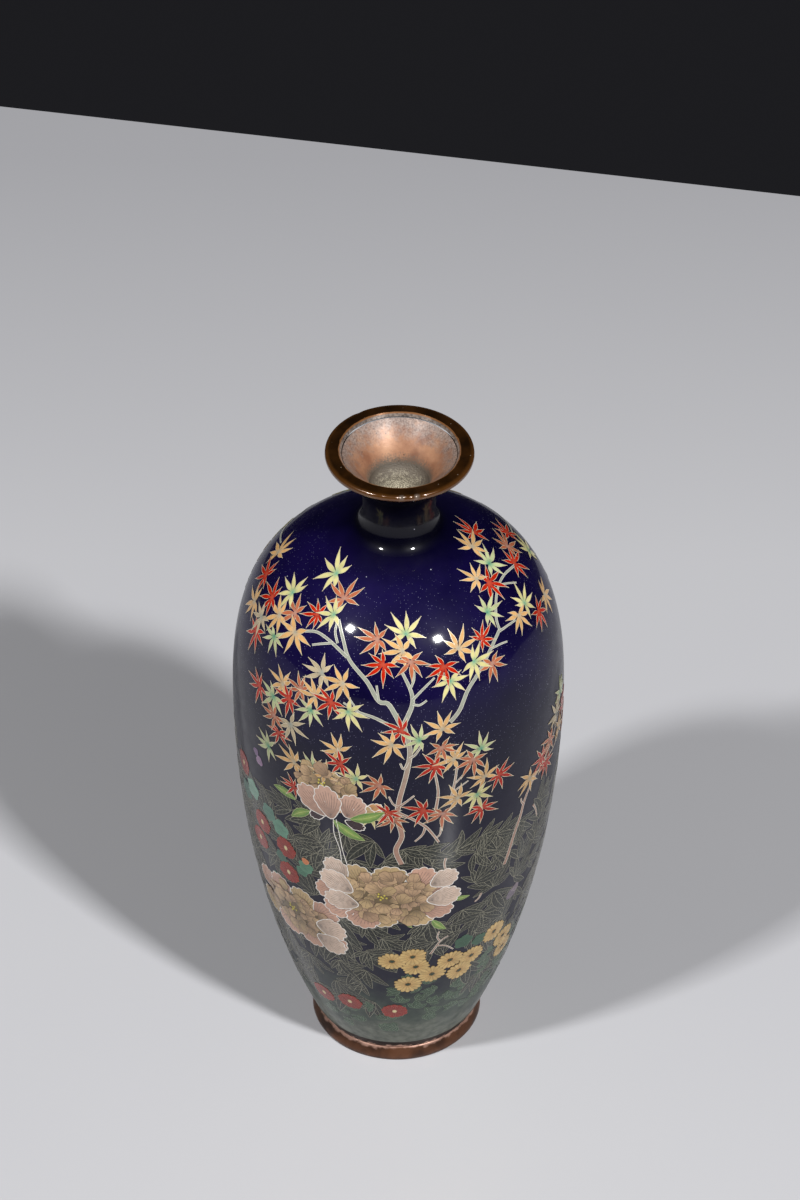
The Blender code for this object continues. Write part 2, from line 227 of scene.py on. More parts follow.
class Sheet:
    """A growing mesh of enamel cells or wires laid on the wall."""

    def __init__(self, wires=False):
        self.wires = wires
        self.points = []
        self.normals = []
        self.tints = []
        self.faces = []
        self.charts = []

    def vertex(self, place, tint):
        position, normal = place
        self.points.append(position)
        self.normals.append(normal)
        self.tints.append((*tint, 1.0))
        return len(self.points) - 1

    def cell(self, spot, shape, tints, lift):
        """One enamel cell: its top, and a side that goes down into the ground."""
        points, faces, border = shape
        first = len(self.points)
        for flat, tint in zip(points, tints):
            self.vertex(spot.lay(flat, lift), tint)
        self.faces += [[first + index for index in face] for face in faces]
        skirt = len(self.points)
        for index in border:
            self.vertex(spot.lay(points[index], -SINK), tints[index])
        count = len(border)
        for step, index in enumerate(border):
            following = (step + 1) % count
            self.faces.append([first + index, first + border[following], skirt + following, skirt + step])
        self.charts.append((first, [*points, *[points[index] * 1.04 for index in border]]))

    def wire(self, spot, path, width, lift, tint, closed=False):
        """One silver wire: a low ridge along a flat path."""
        count = len(path)
        first = len(self.points)
        for step, point in enumerate(path):
            before = path[step - 1] if step or closed else point
            after = path[(step + 1) % count] if step < count - 1 or closed else point
            along = (after - before).normalized()
            side = Vector((along.y, -along.x)) * (width / 2)
            for offset, height in ((-1, -RIDGE / 2), (0, RIDGE), (1, -RIDGE / 2)):
                self.vertex(spot.lay(point + side * offset, lift + height), tint)
        for step in range(count if closed else count - 1):
            low = first + 3 * step
            high = first + 3 * ((step + 1) % count)
            self.faces.append([low, low + 1, high + 1, high])
            self.faces.append([low + 1, low + 2, high + 2, high + 1])
        self.charts.append((first, [Vector((step, side)) for step in range(count) for side in range(3)]))

    def bake_places(self):
        """Texture places for baking: a square each for cells, one shared square for wires."""
        columns = 1 if self.wires else math.ceil(math.sqrt(len(self.charts)))
        places = [Vector((0, 0))] * len(self.points)
        for number, (first, flats) in enumerate(self.charts):
            low = Vector((min(flat.x for flat in flats), min(flat.y for flat in flats)))
            size = Vector((max(flat.x for flat in flats), max(flat.y for flat in flats))) - low
            corner = Vector((number % columns, number // columns % columns))
            for index, flat in enumerate(flats):
                share = Vector(((flat.x - low.x) / size.x, (flat.y - low.y) / size.y))
                places[first + index] = (corner + Vector((0.08, 0.08)) + share * 0.84) / columns
        return places

    def finished(self, name, material, slot, replaced=()):
        """The piece, riding on the vase."""
        mesh = bpy.data.meshes.new(name)
        mesh.from_pydata(self.points, [], self.faces)
        mesh.shade_smooth()
        tints = mesh.color_attributes.new("tint", "FLOAT_COLOR", "POINT")
        tints.data.foreach_set("color", [channel for tint in self.tints for channel in tint])
        layer = mesh.uv_layers.new(name="OFBake")
        places = self.bake_places()
        corners = [0] * len(mesh.loops)
        mesh.loops.foreach_get("vertex_index", corners)
        layer.data.foreach_set("uv", [value for corner in corners for value in places[corner]])
        mesh.normals_split_custom_set_from_vertices([normal.normalized() for normal in self.normals])
        return joined_to_vase(name, mesh, material, replaced)


def placed(name, data):
    """A new object in the scene."""
    thing = bpy.data.objects.new(name, data)
    bpy.context.scene.collection.objects.link(thing)
    return thing


def joined_to_vase(name, mesh, material, replaced):
    """A finished piece from a mesh, standing for CAD nodes where it names them."""
    mesh.materials.append(material)
    piece = placed(name, mesh)
    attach(piece, "root")
    if replaced:
        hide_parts(*replaced)
    return piece


def turned(name, section, material, replaced, dent=None):
    """A closed section of (radius, height) points, turned round, with its seam at the back."""
    mesh = bpy.data.meshes.new(name)
    count = len(section)
    rows = count + 1
    vertices = []
    for step in range(TURNS + 1):
        turn = 2 * math.pi * step / TURNS
        for row in range(rows):
            point = section[row % count]
            if dent:
                point = point - dent(math.degrees(turn) - 180, point)
            around = Vector((-math.sin(turn), math.cos(turn), 0))
            vertices.append((around * point.x + Vector((0, 0, point.y))) * MM)
    faces = []
    for step in range(TURNS):
        for row in range(rows - 1):
            low = step * rows + row
            faces.append([low, low + rows, low + rows + 1, low + 1])
    mesh.from_pydata(vertices, [], faces)
    layer = mesh.uv_layers.new(name="OFBake")
    for corner, loop in zip(layer.data, mesh.loops):
        step, row = divmod(loop.vertex_index, rows)
        corner.uv = (0.01 + 0.98 * step / TURNS, 0.01 + 0.98 * row / (rows - 1))
    shape = bmesh.new()
    shape.from_mesh(mesh)
    bmesh.ops.remove_doubles(shape, verts=shape.verts, dist=0.001 * MM)
    bmesh.ops.recalc_face_normals(shape, faces=shape.faces)
    shape.to_mesh(mesh)
    shape.free()
    mesh.shade_smooth()
    mesh.set_sharp_from_angle(angle=math.radians(35))
    return joined_to_vase(name, mesh, material, replaced)


# ---- flat shapes


def towards(turn):
    """A flat direction, clockwise from up."""
    return Vector((math.sin(turn), math.cos(turn)))


def turns(count):
    """Equal steps of one full turn."""
    return [2 * math.pi * step / count for step in range(count)]


def oval(half_width, half_height, count):
    """A closed flat outline about the origin."""
    return [Vector((half_width * math.sin(turn), half_height * math.cos(turn))) for turn in turns(count)]


def blade(spine, half_widths):
    """A leaf-like cell along a spine: three points a row, faces, and the border's loop."""
    points = []
    count = len(spine)
    for row, (point, half_width) in enumerate(zip(spine, half_widths)):
        along = (spine[min(row + 1, count - 1)] - spine[max(row - 1, 0)]).normalized()
        side = Vector((along.y, -along.x)) * half_width
        points += [point - side, point, point + side]
    faces = []
    for row in range(count - 1):
        low = 3 * row
        faces.append([low, low + 1, low + 4, low + 3])
        faces.append([low + 1, low + 2, low + 5, low + 4])
    border = [3 * row for row in range(count)] + [3 * row + 2 for row in reversed(range(count))]
    return points, faces, border


RING_SHARES = (0.4, 0.75, 1.0)


def rounded(centre, outline):
    """A cell inside a closed outline, in rings about its centre."""
    count = len(outline)
    points = [centre]
    for share in RING_SHARES:
        points += [centre.lerp(point, share) for point in outline]
    faces = [[0, 1 + (step + 1) % count, 1 + step] for step in range(count)]
    for ring in range(len(RING_SHARES) - 1):
        low = 1 + ring * count
        for step in range(count):
            following = (step + 1) % count
            faces.append([low + step, low + following, low + count + following, low + count + step])
    last = 1 + (len(RING_SHARES) - 1) * count
    return points, faces, list(range(last, last + count))


def ring_tints(middle, edge, count):
    """Tints for a rounded cell, from its centre to its outline."""
    tints = [middle]
    for share in RING_SHARES:
        tints += [mixed(middle, edge, share ** 1.5)] * count
    return tints


def smooth_path(points, steps=5):
    """A smooth flat path through points."""
    padded = [points[0], *points, points[-1]]
    path = []
    for before, start, end, after in zip(padded, padded[1:], padded[2:], padded[3:]):
        for step in range(steps):
            t = step / steps
            path.append(
                0.5 * (
                    2 * start + (end - before) * t
                    + (2 * before - 5 * start + 4 * end - after) * t * t
                    + (3 * start - before - 3 * end + after) * t ** 3
                )
            )
    path.append(points[-1])
    return path


def petal_outline(width, height, scallops):
    """A petal with its base at the origin and a scalloped outer edge."""
    outline = []
    for turn in turns(scallops * 5):
        frill = 0.94 + 0.14 * abs(math.sin(scallops * turn / 2)) * held(1.2 * math.cos(turn) + 0.7)
        narrow = 1 - 0.38 * max(0, -math.cos(turn))
        outline.append(Vector((
            width / 2 * math.sin(turn) * frill * narrow,
            height / 2 * (1 + math.cos(turn) * frill),
        )))
    return outline


# ---- maple

LEAF_KINDS = {
    "yellow": (tone(244, 234, 160), tone(124, 184, 152)),
    "mint": (tone(214, 224, 164), tone(94, 166, 138)),
    "peach": (tone(250, 194, 126), tone(196, 190, 168)),
    "pale": (tone(220, 198, 162), tone(172, 176, 164)),
    "salmon": (tone(208, 118, 82), tone(200, 156, 138)),
    "red": (tone(206, 44, 22), tone(206, 92, 70)),
}
LEAF_WIRE = tone(222, 208, 178)
LOBE_ROWS = (0.0, 0.14, 0.28, 0.42, 0.56, 0.70, 0.84, 1.0)
LOBE_WIDTHS = (0.30, 0.48, 0.80, 1.0, 0.96, 0.70, 0.36, 0.04)
LOBE_HALF_WIDTH = 0.092
LEAF_SCALE = 1.24
LOBES = ((-128, 0.62), (-84, 0.82), (-41, 0.96), (0, 1.0), (41, 0.96), (84, 0.82), (128, 0.62))

# Leaves as (angle, height, heading, length of the longest lobe, kind), the undermost first.
LEAVES = {
    "left_top": [
        (-48, 157.5, 268, 5.2, "yellow"), (-33, 155.2, 318, 4.6, "salmon"), (-42, 151.5, 246, 3.9, "red"),
        (-34, 152.6, 255, 4.3, "yellow"), (-62, 151.5, 268, 4.8, "yellow"), (-53, 149.4, 250, 4.6, "salmon"),
        (-60, 147.0, 225, 4.8, "peach"), (-48, 146.6, 182, 5.2, "peach"), (-70, 147.8, 238, 4.6, "red"),
        (-69, 143.2, 200, 4.3, "pale"), (-68, 139.6, 185, 4.6, "red"), (-57, 142.8, 182, 3.8, "mint"),
        (-79, 143.0, 225, 4.8, "peach"), (-94, 151.0, 300, 4.8, "peach"), (-85, 148.0, 250, 4.6, "red"),
        (-30, 141.6, 266, 4.5, "pale"), (-21, 140.8, 235, 4.6, "peach"),
    ],
    "centre_top": [
        (-9.5, 150.6, 258, 4.3, "salmon"), (3.5, 151.6, 12, 4.6, "yellow"), (2.0, 148.8, 262, 4.6, "peach"),
        (-6.0, 146.2, 222, 4.3, "red"), (5.0, 146.8, 178, 4.2, "salmon"), (26, 147.6, 35, 4.5, "peach"),
        (37.5, 147.6, 70, 3.7, "red"), (31, 144.2, 128, 4.4, "yellow"), (20, 141.6, 176, 4.4, "yellow"),
        (18.5, 145.0, 205, 4.3, "red"), (38.5, 142.2, 172, 4.2, "salmon"),
    ],
    "right_top": [
        (93, 158.5, 60, 4.6, "red"), (107, 152.5, 70, 4.4, "red"), (103, 147.5, 60, 4.6, "yellow"),
        (94, 153.5, 90, 4.4, "salmon"), (76, 158.5, 80, 4.6, "peach"), (71, 155.8, 100, 4.6, "mint"),
        (55, 155.8, 340, 3.9, "peach"),
        (59, 154.4, 135, 4.6, "red"), (46.5, 151.2, 92, 4.2, "mint"), (61, 147.0, 200, 4.2, "peach"),
        (68, 147.4, 60, 4.4, "yellow"), (73, 143.4, 165, 4.4, "red"), (84, 152.2, 110, 4.6, "red"),
        (84, 143.0, 150, 4.4, "peach"),
    ],
    "left_middle": [
        (-45.5, 134.2, 285, 4.4, "peach"), (-37.5, 135.6, 285, 4.0, "salmon"),
        (-31, 135.6, 300, 4.3, "peach"), (-24.5, 135.6, 230, 4.4, "red"),
        (-18, 134.2, 140, 4.6, "yellow"), (-32, 131.5, 215, 4.1, "mint"),
        (-41.5, 131.6, 235, 4.6, "red"), (-49, 129.4, 215, 4.5, "mint"), (-57, 128.8, 235, 4.4, "red"),
        (-47.5, 124.2, 225, 4.3, "salmon"), (-45, 120.2, 182, 3.7, "red"), (-40, 124.8, 148, 4.5, "pale"),
        (-20.5, 122.6, 290, 4.5, "peach"), (-19.5, 118.8, 262, 4.1, "red"),
    ],
    "centre": [
        (1.5, 130.6, 262, 4.2, "red"), (15.5, 129.8, 345, 4.6, "peach"), (15, 124.8, 165, 3.9, "salmon"),
        (7.5, 127.6, 285, 3.9, "mint"), (-2, 126.6, 235, 4.7, "peach"), (13, 119.4, 240, 4.6, "red"),
        (19.5, 120.4, 300, 4.5, "peach"), (29.5, 121.2, 350, 4.0, "mint"), (26.5, 118.8, 215, 4.6, "salmon"),
    ],
    "low": [
        (-50, 113.4, 268, 4.6, "mint"), (-38, 105.6, 250, 3.6, "red"), (-37.5, 113.8, 255, 4.9, "peach"),
        (-30, 115.0, 312, 3.8, "mint"), (-25.5, 113.6, 330, 4.0, "peach"), (-14, 115.0, 285, 4.4, "yellow"),
        (-6, 113.8, 238, 4.5, "salmon"), (-9, 103.6, 205, 3.9, "yellow"), (-1.5, 102.8, 185, 3.8, "salmon"),
        (-3, 105.2, 210, 4.1, "red"), (36.5, 110.4, 120, 4.4, "red"), (31, 111.8, 330, 4.3, "peach"),
        (21, 107.6, 290, 4.2, "peach"), (9, 105.6, 250, 4.6, "red"), (28, 107.0, 160, 4.4, "yellow"),
        (15.5, 103.6, 190, 4.3, "salmon"), (30, 101.8, 172, 4.3, "red"),
    ],
    "right_tree": [
        (52.5, 102.2, 225, 4.4, "peach"), (60, 105.0, 280, 4.2, "red"), (66, 107.8, 250, 4.3, "salmon"),
        (63, 101.6, 170, 4.0, "red"), (71, 113.0, 320, 4.4, "pale"), (74, 106.8, 100, 4.2, "peach"),
        (79, 110.6, 60, 4.2, "red"), (76, 117.0, 350, 4.2, "mint"), (84, 104.6, 130, 4.2, "salmon"),
    ],
}
# Parts of the back that are filled with leaves, as (first angle, last angle, highest).
BACK_LEAVES = {
    "back_right": (118, 150, 143),
    "back_middle": (152, 208, 152),
    "back_left": (210, 250, 146),
}
BACK_LEAF_SPACING = 6.4

# Branches as (width at the root, width at the tip, points (angle, height)).
FRONT_BRANCHES = [
    (1.8, 1.5, [(1.5, 87), (-0.5, 92), (1.5, 97), (0, 103), (0.5, 109), (3, 118), (4, 125), (1.8, 132)]),
    (1.5, 0.9, [(1.8, 131.5), (-3, 137.2), (-7, 138), (-12, 142.2), (-20, 146), (-24, 149.3), (-28, 152.2)]),
    (0.9, 0.7, [(-21, 146.4), (-30, 148.2), (-38, 148.8), (-44, 147.8)]),
    (0.7, 0.5, [(-29, 148.2), (-34, 147.2), (-38, 146.2)]),
    (0.7, 0.5, [(-27, 148.4), (-30, 150.2), (-31, 152.2)]),
    (0.6, 0.5, [(-7, 138), (-7.6, 139.8), (-8.2, 141.6)]),
    (1.5, 0.8, [(1.8, 132), (4.8, 136.6), (5.2, 139), (4.2, 141.4), (1.5, 144.8)]),
    (0.7, 0.5, [(4.4, 141), (6, 143), (6.2, 144.8)]),
    (0.7, 0.5, [(5.2, 137.4), (7.6, 137), (10.4, 138)]),
    (0.8, 0.5, [(5.2, 138.4), (9, 140.6), (14, 143)]),
    (1.1, 0.5, [(0, 131), (-8, 133.6), (-14, 134.6), (-20, 136.2)]),
    (0.5, 0.4, [(-14, 134.6), (-18, 137.6), (-22, 140.4)]),
    (1.3, 1.0, [(18, 131.4), (22, 134), (26, 138.2), (31, 141), (40, 145.2), (46.5, 147.4)]),
    (0.8, 0.6, [(46.5, 147.2), (48.2, 149.4), (54, 151.6), (62, 153), (72, 153.2), (84, 152)]),
    (0.7, 0.5, [(47, 147.2), (52, 147.1), (58, 146.8)]),
    (0.6, 0.4, [(40, 145.1), (45, 144.9), (48.8, 144.5)]),
    (0.6, 0.4, [(64, 153), (69, 152), (73.5, 150.8)]),
    (1.0, 0.6, [(13, 105), (13.8, 111), (12.4, 118)]),
    (0.9, 0.6, [(18, 106), (19.8, 114), (20.4, 118.6)]),
    (0.6, 0.4, [(19.8, 112.6), (22.4, 114.6), (25.2, 116.6)]),
    (0.6, 0.4, [(19, 110), (22, 111.4), (24.6, 112.4)]),
    (0.8, 0.5, [(0.5, 107.2), (2.2, 108.2), (5.6, 110.6)]),
    (0.7, 0.4, [(0.2, 107), (-1.6, 108), (-3, 110.4)]),
    (1.0, 0.7, [(0.4, 105), (5, 102.8), (9.6, 99.8), (12.4, 96.6), (14.4, 93.8)]),
    (0.8, 0.5, [(9.6, 100), (8.6, 97.2), (6, 95)]),
    (0.6, 0.4, [(13.4, 95.4), (14.8, 96.6), (15, 99)]),
    (0.8, 0.5, [(3.4, 121.4), (2, 119.2), (0.8, 121)]),
    (0.8, 0.5, [(4, 122.4), (6, 123.6), (8.6, 126.6)]),
    (0.8, 0.6, [(17.2, 87.6), (16.8, 85.6), (17.4, 83)]),
    (0.8, 0.6, [(33, 70), (32, 68.4), (30.4, 67.6)]),
    (0.8, 0.5, [(13.8, 50.6), (15.6, 53), (17.6, 55.6), (20.6, 57)]),
    (0.6, 0.4, [(16.4, 53.8), (20, 53), (23.6, 50.6)]),
    (0.6, 0.4, [(17.6, 55.2), (16, 57.4), (16.6, 59.6)]),
]
RIGHT_BRANCHES = [
    (1.5, 1.0, [(42.6, 76.6), (44, 80), (46, 86), (48.4, 91), (50, 95.6), (52.6, 99), (56, 101.4)]),
    (0.8, 0.5, [(56, 101.4), (62, 103.6), (68, 107), (73, 112)]),
    (0.7, 0.5, [(49.6, 94.6), (48.4, 96), (48, 97.4)]),
    (0.7, 0.4, [(60, 103), (68, 102.6), (76, 104.6), (84, 103.6)]),
    (0.8, 0.5, [(56, 91), (58, 88.4), (59.6, 85.2)]),
]
BACK_BRANCHES = [
    (1.8, 1.3, [(180, 86), (178, 96), (181, 106), (179, 118), (182, 128), (181, 136)]),
    (1.3, 0.8, [(181, 130), (172, 136), (164, 141), (152, 146), (140, 149)]),
    (1.3, 0.8, [(182, 128), (192, 137), (204, 142), (216, 147), (230, 150)]),
    (1.2, 0.7, [(180, 112), (168, 119), (158, 124), (146, 127)]),
    (1.2, 0.7, [(179, 118), (190, 124), (202, 127), (214, 130)]),
    (0.8, 0.5, [(181, 136), (183, 143), (180, 150)]),
    (0.8, 0.5, [(140, 149), (126, 149), (110, 151)]),
    (0.8, 0.5, [(146, 127), (132, 132), (118, 136), (104, 138)]),
    (0.8, 0.5, [(230, 150), (244, 149), (258, 151)]),
    (0.8, 0.5, [(214, 130), (228, 134), (242, 138), (256, 139)]),
]
BARK_LOW = tone(160, 126, 110)
BARK_HIGH = tone(158, 162, 146)
BARK_WIRE = tone(222, 218, 204)
BRANCH_SLIMNESS = 0.72


def lobe_spine(angle, length, bend):
    """Spine of a lobe from the leaf's centre, slightly bent."""
    spine = []
    for share in LOBE_ROWS:
        turn = math.radians(angle + bend * share)
        spine.append(towards(turn) * (length * share))
    return spine


def maple_leaf(cells, wires, place, level, chance):
    """A maple leaf: slender lobes that fade from the centre's colour, and wires round them."""
    angle, height, heading, size, kind = place
    spot = Spot(angle, height, heading)
    # Painted shade: leaves lower on the vase are dimmed, where the lights fall more steeply on the wall.
    shade_by_height = 0.60 + 0.22 * held((height - 104) / 44)
    color, heart = [shaded(part, shade_by_height) for part in LEAF_KINDS[kind]]
    lift = LEAF_LIFT + level * LEVEL_STEP
    size = size * LEAF_SCALE
    for number, (direction, share) in enumerate(LOBES):
        length = size * share * chance.uniform(0.86, 1.08)
        spine = lobe_spine(direction + chance.uniform(-6, 6), length, chance.uniform(-9, 9))
        widths = [LOBE_HALF_WIDTH * size * width for width in LOBE_WIDTHS]
        lobe = shaded(color, chance.uniform(0.86, 1.06))
        tints = []
        for row in LOBE_ROWS:
            blend = mixed(heart, lobe, min(1, row / 0.34))
            tints += [shaded(blend, 0.94), blend, shaded(blend, 0.94)]
        lobe_lift = lift + number * LOBE_STEP
        shape = blade(spine, widths)
        cells.cell(spot, shape, tints, lobe_lift)
        spike = spine[-1] + (spine[-1] - spine[-2]).normalized() * 0.45
        for side in (0, 2):
            edge = shape[0][side::3][2:]
            wires.wire(spot, [*edge, spike], LEAF_WIRE_WIDTH, lobe_lift, LEAF_WIRE)


def leaf_groups():
    """Every group of maple leaves, with the unseen side's filled in evenly."""
    groups = dict(LEAVES)
    kinds = list(LEAF_KINDS)
    chance = random.Random(5)
    for name, (first, last, highest) in BACK_LEAVES.items():
        groups[name] = [
            (*place, chance.uniform(120, 320), chance.uniform(3.8, 4.8), chance.choice(kinds))
            for place in scattered(chance, first, last, 114, highest, BACK_LEAF_SPACING)
        ]
    return groups


def maples(materials):
    wires = Sheet(wires=True)
    chance = random.Random(11)
    for name, places in leaf_groups().items():
        cells = Sheet()
        for number, place in enumerate(places):
            maple_leaf(cells, wires, place, number % 5, chance)
        cells.finished(f"maple_leaves_{name}", materials["enamel"], "leaf_enamel")
    wires.finished("maple_leaf_wires", materials["silver"], "silver_wire")


def branches(name, strokes, node, materials):
    """A maple's trunk and twigs, with a wire down each side."""
    cells = Sheet()
    wires = Sheet(wires=True)
    for number, (root_width, tip_width, places) in enumerate(strokes):
        middle = places[len(places) // 2]
        spot = Spot(*middle)
        path = smooth_path([flat_between(*middle, *place) for place in places])
        count = len(path)
        widths = []
        tints = []
        for step in range(count):
            share = step / (count - 1)
            widths.append((root_width + (tip_width - root_width) * share) / 2 * BRANCH_SLIMNESS)
            height = WALL.at(spot.length + path[step].y)[0].y
            color = mixed(BARK_LOW, BARK_HIGH, held((height - 108) / 28))
            tints += [shaded(color, 0.82), color, shaded(color, 0.9)]
        lift = BRANCH_LIFT + (number % 6) * 0.004
        shape = blade(path, widths)
        cells.cell(spot, shape, tints, lift)
        for side in (0, 2):
            wires.wire(spot, shape[0][side::3], BARK_WIRE_WIDTH, lift, BARK_WIRE)
    cells.finished(f"{name}_bark", materials["enamel"], "bark_enamel", [node])
    wires.finished(f"{name}_bark_wires", materials["silver"], "silver_wire")


# ---- peonies

PEONY_WIRE = tone(236, 230, 222)
PEONY_LINE = tone(84, 64, 50)
PINK = tone(184, 144, 124)
TAN = tone(178, 152, 112)
CUP = tone(186, 150, 132)
WHITE_PINK = tone(198, 174, 156)
PEACH = tone(214, 160, 106)
SEPAL = tone(66, 50, 54)
STAMEN = tone(206, 190, 84)
# Petals as (x, y, heading, width, length, colour), the undermost first: those under the heart ...
PEONY_PETALS = {
    "front": [
        (-6.0, 2.5, 342, 7.5, 8.6, TAN), (9.0, 1.0, 62, 7.0, 7.0, PINK), (6.4, 2.5, 24, 8.0, 8.8, PINK),
        (0.5, 3.5, 2, 9.0, 8.0, TAN), (4.0, -3.0, 138, 8.0, 9.6, TAN), (8.0, -3.0, 116, 7.5, 9.0, PINK),
        (-2.0, -5.0, 168, 8.0, 6.6, TAN), (-8.5, -3.5, 232, 8.4, 8.8, PINK),
        (-5.0, -4.5, 196, 8.6, 8.4, PINK), (-12.0, -1.0, 268, 7.0, 6.6, PINK),
        (-10.5, 4.0, 330, 6.4, 8.4, WHITE_PINK),
    ],
    "left": [
        (-8.0, 2.5, 305, 8.0, 7.0, PINK), (-3.5, 3.0, 340, 8.0, 7.6, PINK), (2.0, 3.0, 12, 8.0, 7.6, TAN),
        (6.5, 2.5, 45, 8.0, 7.4, PINK), (-7.5, -2.0, 240, 8.0, 7.4, TAN), (-2.5, -3.0, 200, 8.4, 7.6, PINK),
        (3.0, -3.0, 165, 8.4, 7.6, PINK), (7.0, -3.6, 122, 8.0, 7.6, PINK),
    ],
    "upper": [
        (-4.8, 3.6, 318, 4.6, 5.0, TAN), (-0.5, 4.0, 0, 6.0, 4.6, TAN), (7.6, -2.2, 88, 2.4, 4.8, PEACH),
        (7.4, -1.4, 66, 2.4, 4.8, PEACH), (-2.6, -6.2, 248, 3.0, 4.4, SEPAL),
        (2.6, -6.2, 108, 3.2, 5.2, SEPAL),
    ],
}
# ... and those over it.
PEONY_FRONT_PETALS = {
    "front": [
        (10.5, 4.0, 62, 6.6, 7.6, WHITE_PINK), (9.5, -1.5, 84, 7.0, 8.8, WHITE_PINK),
        (-8.5, 0.5, 302, 7.4, 9.6, WHITE_PINK), (-7.0, -4.0, 276, 6.8, 9.0, WHITE_PINK),
    ],
    "left": [(6.0, -0.5, 88, 8.0, 8.4, WHITE_PINK), (5.5, -5.0, 112, 7.4, 8.4, WHITE_PINK)],
    "upper": [
        (5.0, -4.4, 52, 6.0, 5.6, TAN), (3.0, -5.2, 20, 7.0, 8.2, CUP), (-1.8, -6.4, 314, 7.4, 10.6, CUP),
        (-0.8, -7.0, 350, 7.2, 10.6, CUP),
    ],
}
for side in ("front", "left", "upper"):
    back = "back" if side == "front" else f"back_{side}"
    PEONY_PETALS[back] = PEONY_PETALS[side]
    PEONY_FRONT_PETALS[back] = PEONY_FRONT_PETALS[side]
# Peonies as (angle, height, x and y of the heart, its half width and half height, ruffles).
PEONIES = {
    "front": (-3.5, 74.5, -0.5, -0.5, 10.6, 7.4, 84),
    "left": (-43, 58.0, -0.5, 0, 9.0, 6.4, 52),
    "upper": (-22, 106.6, -2.4, 3.2, 6.4, 4.6, 26),
    "back": (160, 74.0, -0.5, -0.5, 10.6, 7.4, 84),
    "back_left": (226, 64.0, -0.5, 0, 9.0, 6.4, 52),
    "back_upper": (203, 106.0, -2.4, 3.2, 6.4, 4.6, 26),
}
GOLDEN_TURN = math.radians(137.508)
PETAL_STEP = 0.008
RUFFLE_LENGTHS = (2.3, 4.8)
RUFFLE_LEVELS = 9
RUFFLE_STEP = 0.006
STAMENS = 7
STAMEN_SPACING = 0.55
STAMEN_LIFT = 0.062           # over the heart
FRONT_PETAL_LIFT = 0.066


def petal(cells, wires, spot, width, height, color, lift, wire_width, scallops, wire_tint):
    """One scalloped petal, with painted shade at its base and lighter towards its edge, and the wire round
    it.
    """
    outline = petal_outline(width, height, scallops)
    shape = rounded(Vector((0, height * 0.42)), outline)
    # Painted shade and light: the petal goes from a darkened base to a lightened edge, for depth between
    # overlapping petals.
    dark = shaded(color, 0.55)
    light = shaded(color, 1.1)
    tints = [mixed(dark, light, held(1.5 * point.y / height)) for point in shape[0]]
    cells.cell(spot, shape, tints, lift)
    wires.wire(spot, outline, wire_width, lift, wire_tint, closed=True)


def veins(wires, spot, height, width, lift, tint, count=5):
    """Fine lines that fan out from a petal's base."""
    root = Vector((0, height * 0.08))
    for number in range(count):
        side = (number - (count - 1) / 2) / count
        tip = Vector((side * width * 0.95, height * (0.86 - abs(side) * 0.35)))
        middle = root.lerp(tip, 0.55) + Vector((side * width * 0.12, 0))
        wires.wire(spot, smooth_path([root, middle, tip], 3), PETAL_VEIN_WIDTH, lift, tint)


def moved_spot(angle, height, x, y, heading):
    """A spot x and y away from a place on the wall."""
    length = WALL.length_at(height) + y
    point, _ = WALL.at(length)
    spot = Spot(angle + math.degrees(x / point.x), height, heading)
    spot.length = length
    return spot


def broad_petals(sheets, place, petals, lift, chance):
    """Large petals with white wires and pale veins."""
    cells, wires, lines = sheets
    for number, (x, y, heading, width, length, color) in enumerate(petals):
        spot = moved_spot(*place, x, y, heading)
        level = lift + number * PETAL_STEP
        shade = shaded(color, chance.uniform(0.9, 1.05))
        petal(cells, wires, spot, width, length, shade, level, 0.26, 11, PEONY_WIRE)
        veins(lines, spot, length, width, level, shaded(color, 0.42), 9)


def ruffles(sheets, place, heart, lift, chance):
    """The crowded small petals of a peony's heart over a dark disc of painted shade, and its yellow stamens.
    """
    cells, _, lines = sheets
    heart_x, heart_y, half_width, half_height, count = heart
    shape = rounded(Vector((0, 0)), oval(half_width, half_height, 36))
    # Painted shade: a dark disc under the ruffles shows as shade in the gaps between them.
    cells.cell(moved_spot(*place, heart_x, heart_y, 0), shape, [shaded(TAN, 0.35)] * len(shape[0]), lift)
    for number in range(count, 0, -1):
        turn = number * GOLDEN_TURN
        x, y = towards(turn) * math.sqrt(number / count)
        heading = math.degrees(turn) + chance.uniform(-100, 100)
        spot = moved_spot(*place, heart_x + half_width * x, heart_y + half_height * y, heading)
        length = chance.uniform(*RUFFLE_LENGTHS)
        color = mixed(TAN, PINK, chance.uniform(0, 0.5))
        shade = shaded(color, chance.uniform(0.75, 1.08))
        level = lift + PETAL_STEP + (count - number) % RUFFLE_LEVELS * RUFFLE_STEP
        width = length * chance.uniform(0.7, 1.1)
        petal(cells, lines, spot, width, length, shade, level, 0.12, 6, PEONY_LINE)
        veins(lines, spot, length, length, level, shaded(shade, 0.45), 3)
    grain = rounded(Vector((0, 0)), oval(0.26, 0.3, 8))
    for number in range(STAMENS):
        x, y = towards(number * GOLDEN_TURN) * (STAMEN_SPACING * math.sqrt(number))
        spot = moved_spot(*place, heart_x - 1 + x, heart_y + 0.8 + y, 0)
        cells.cell(spot, grain, [STAMEN] * len(grain[0]), lift + STAMEN_LIFT)


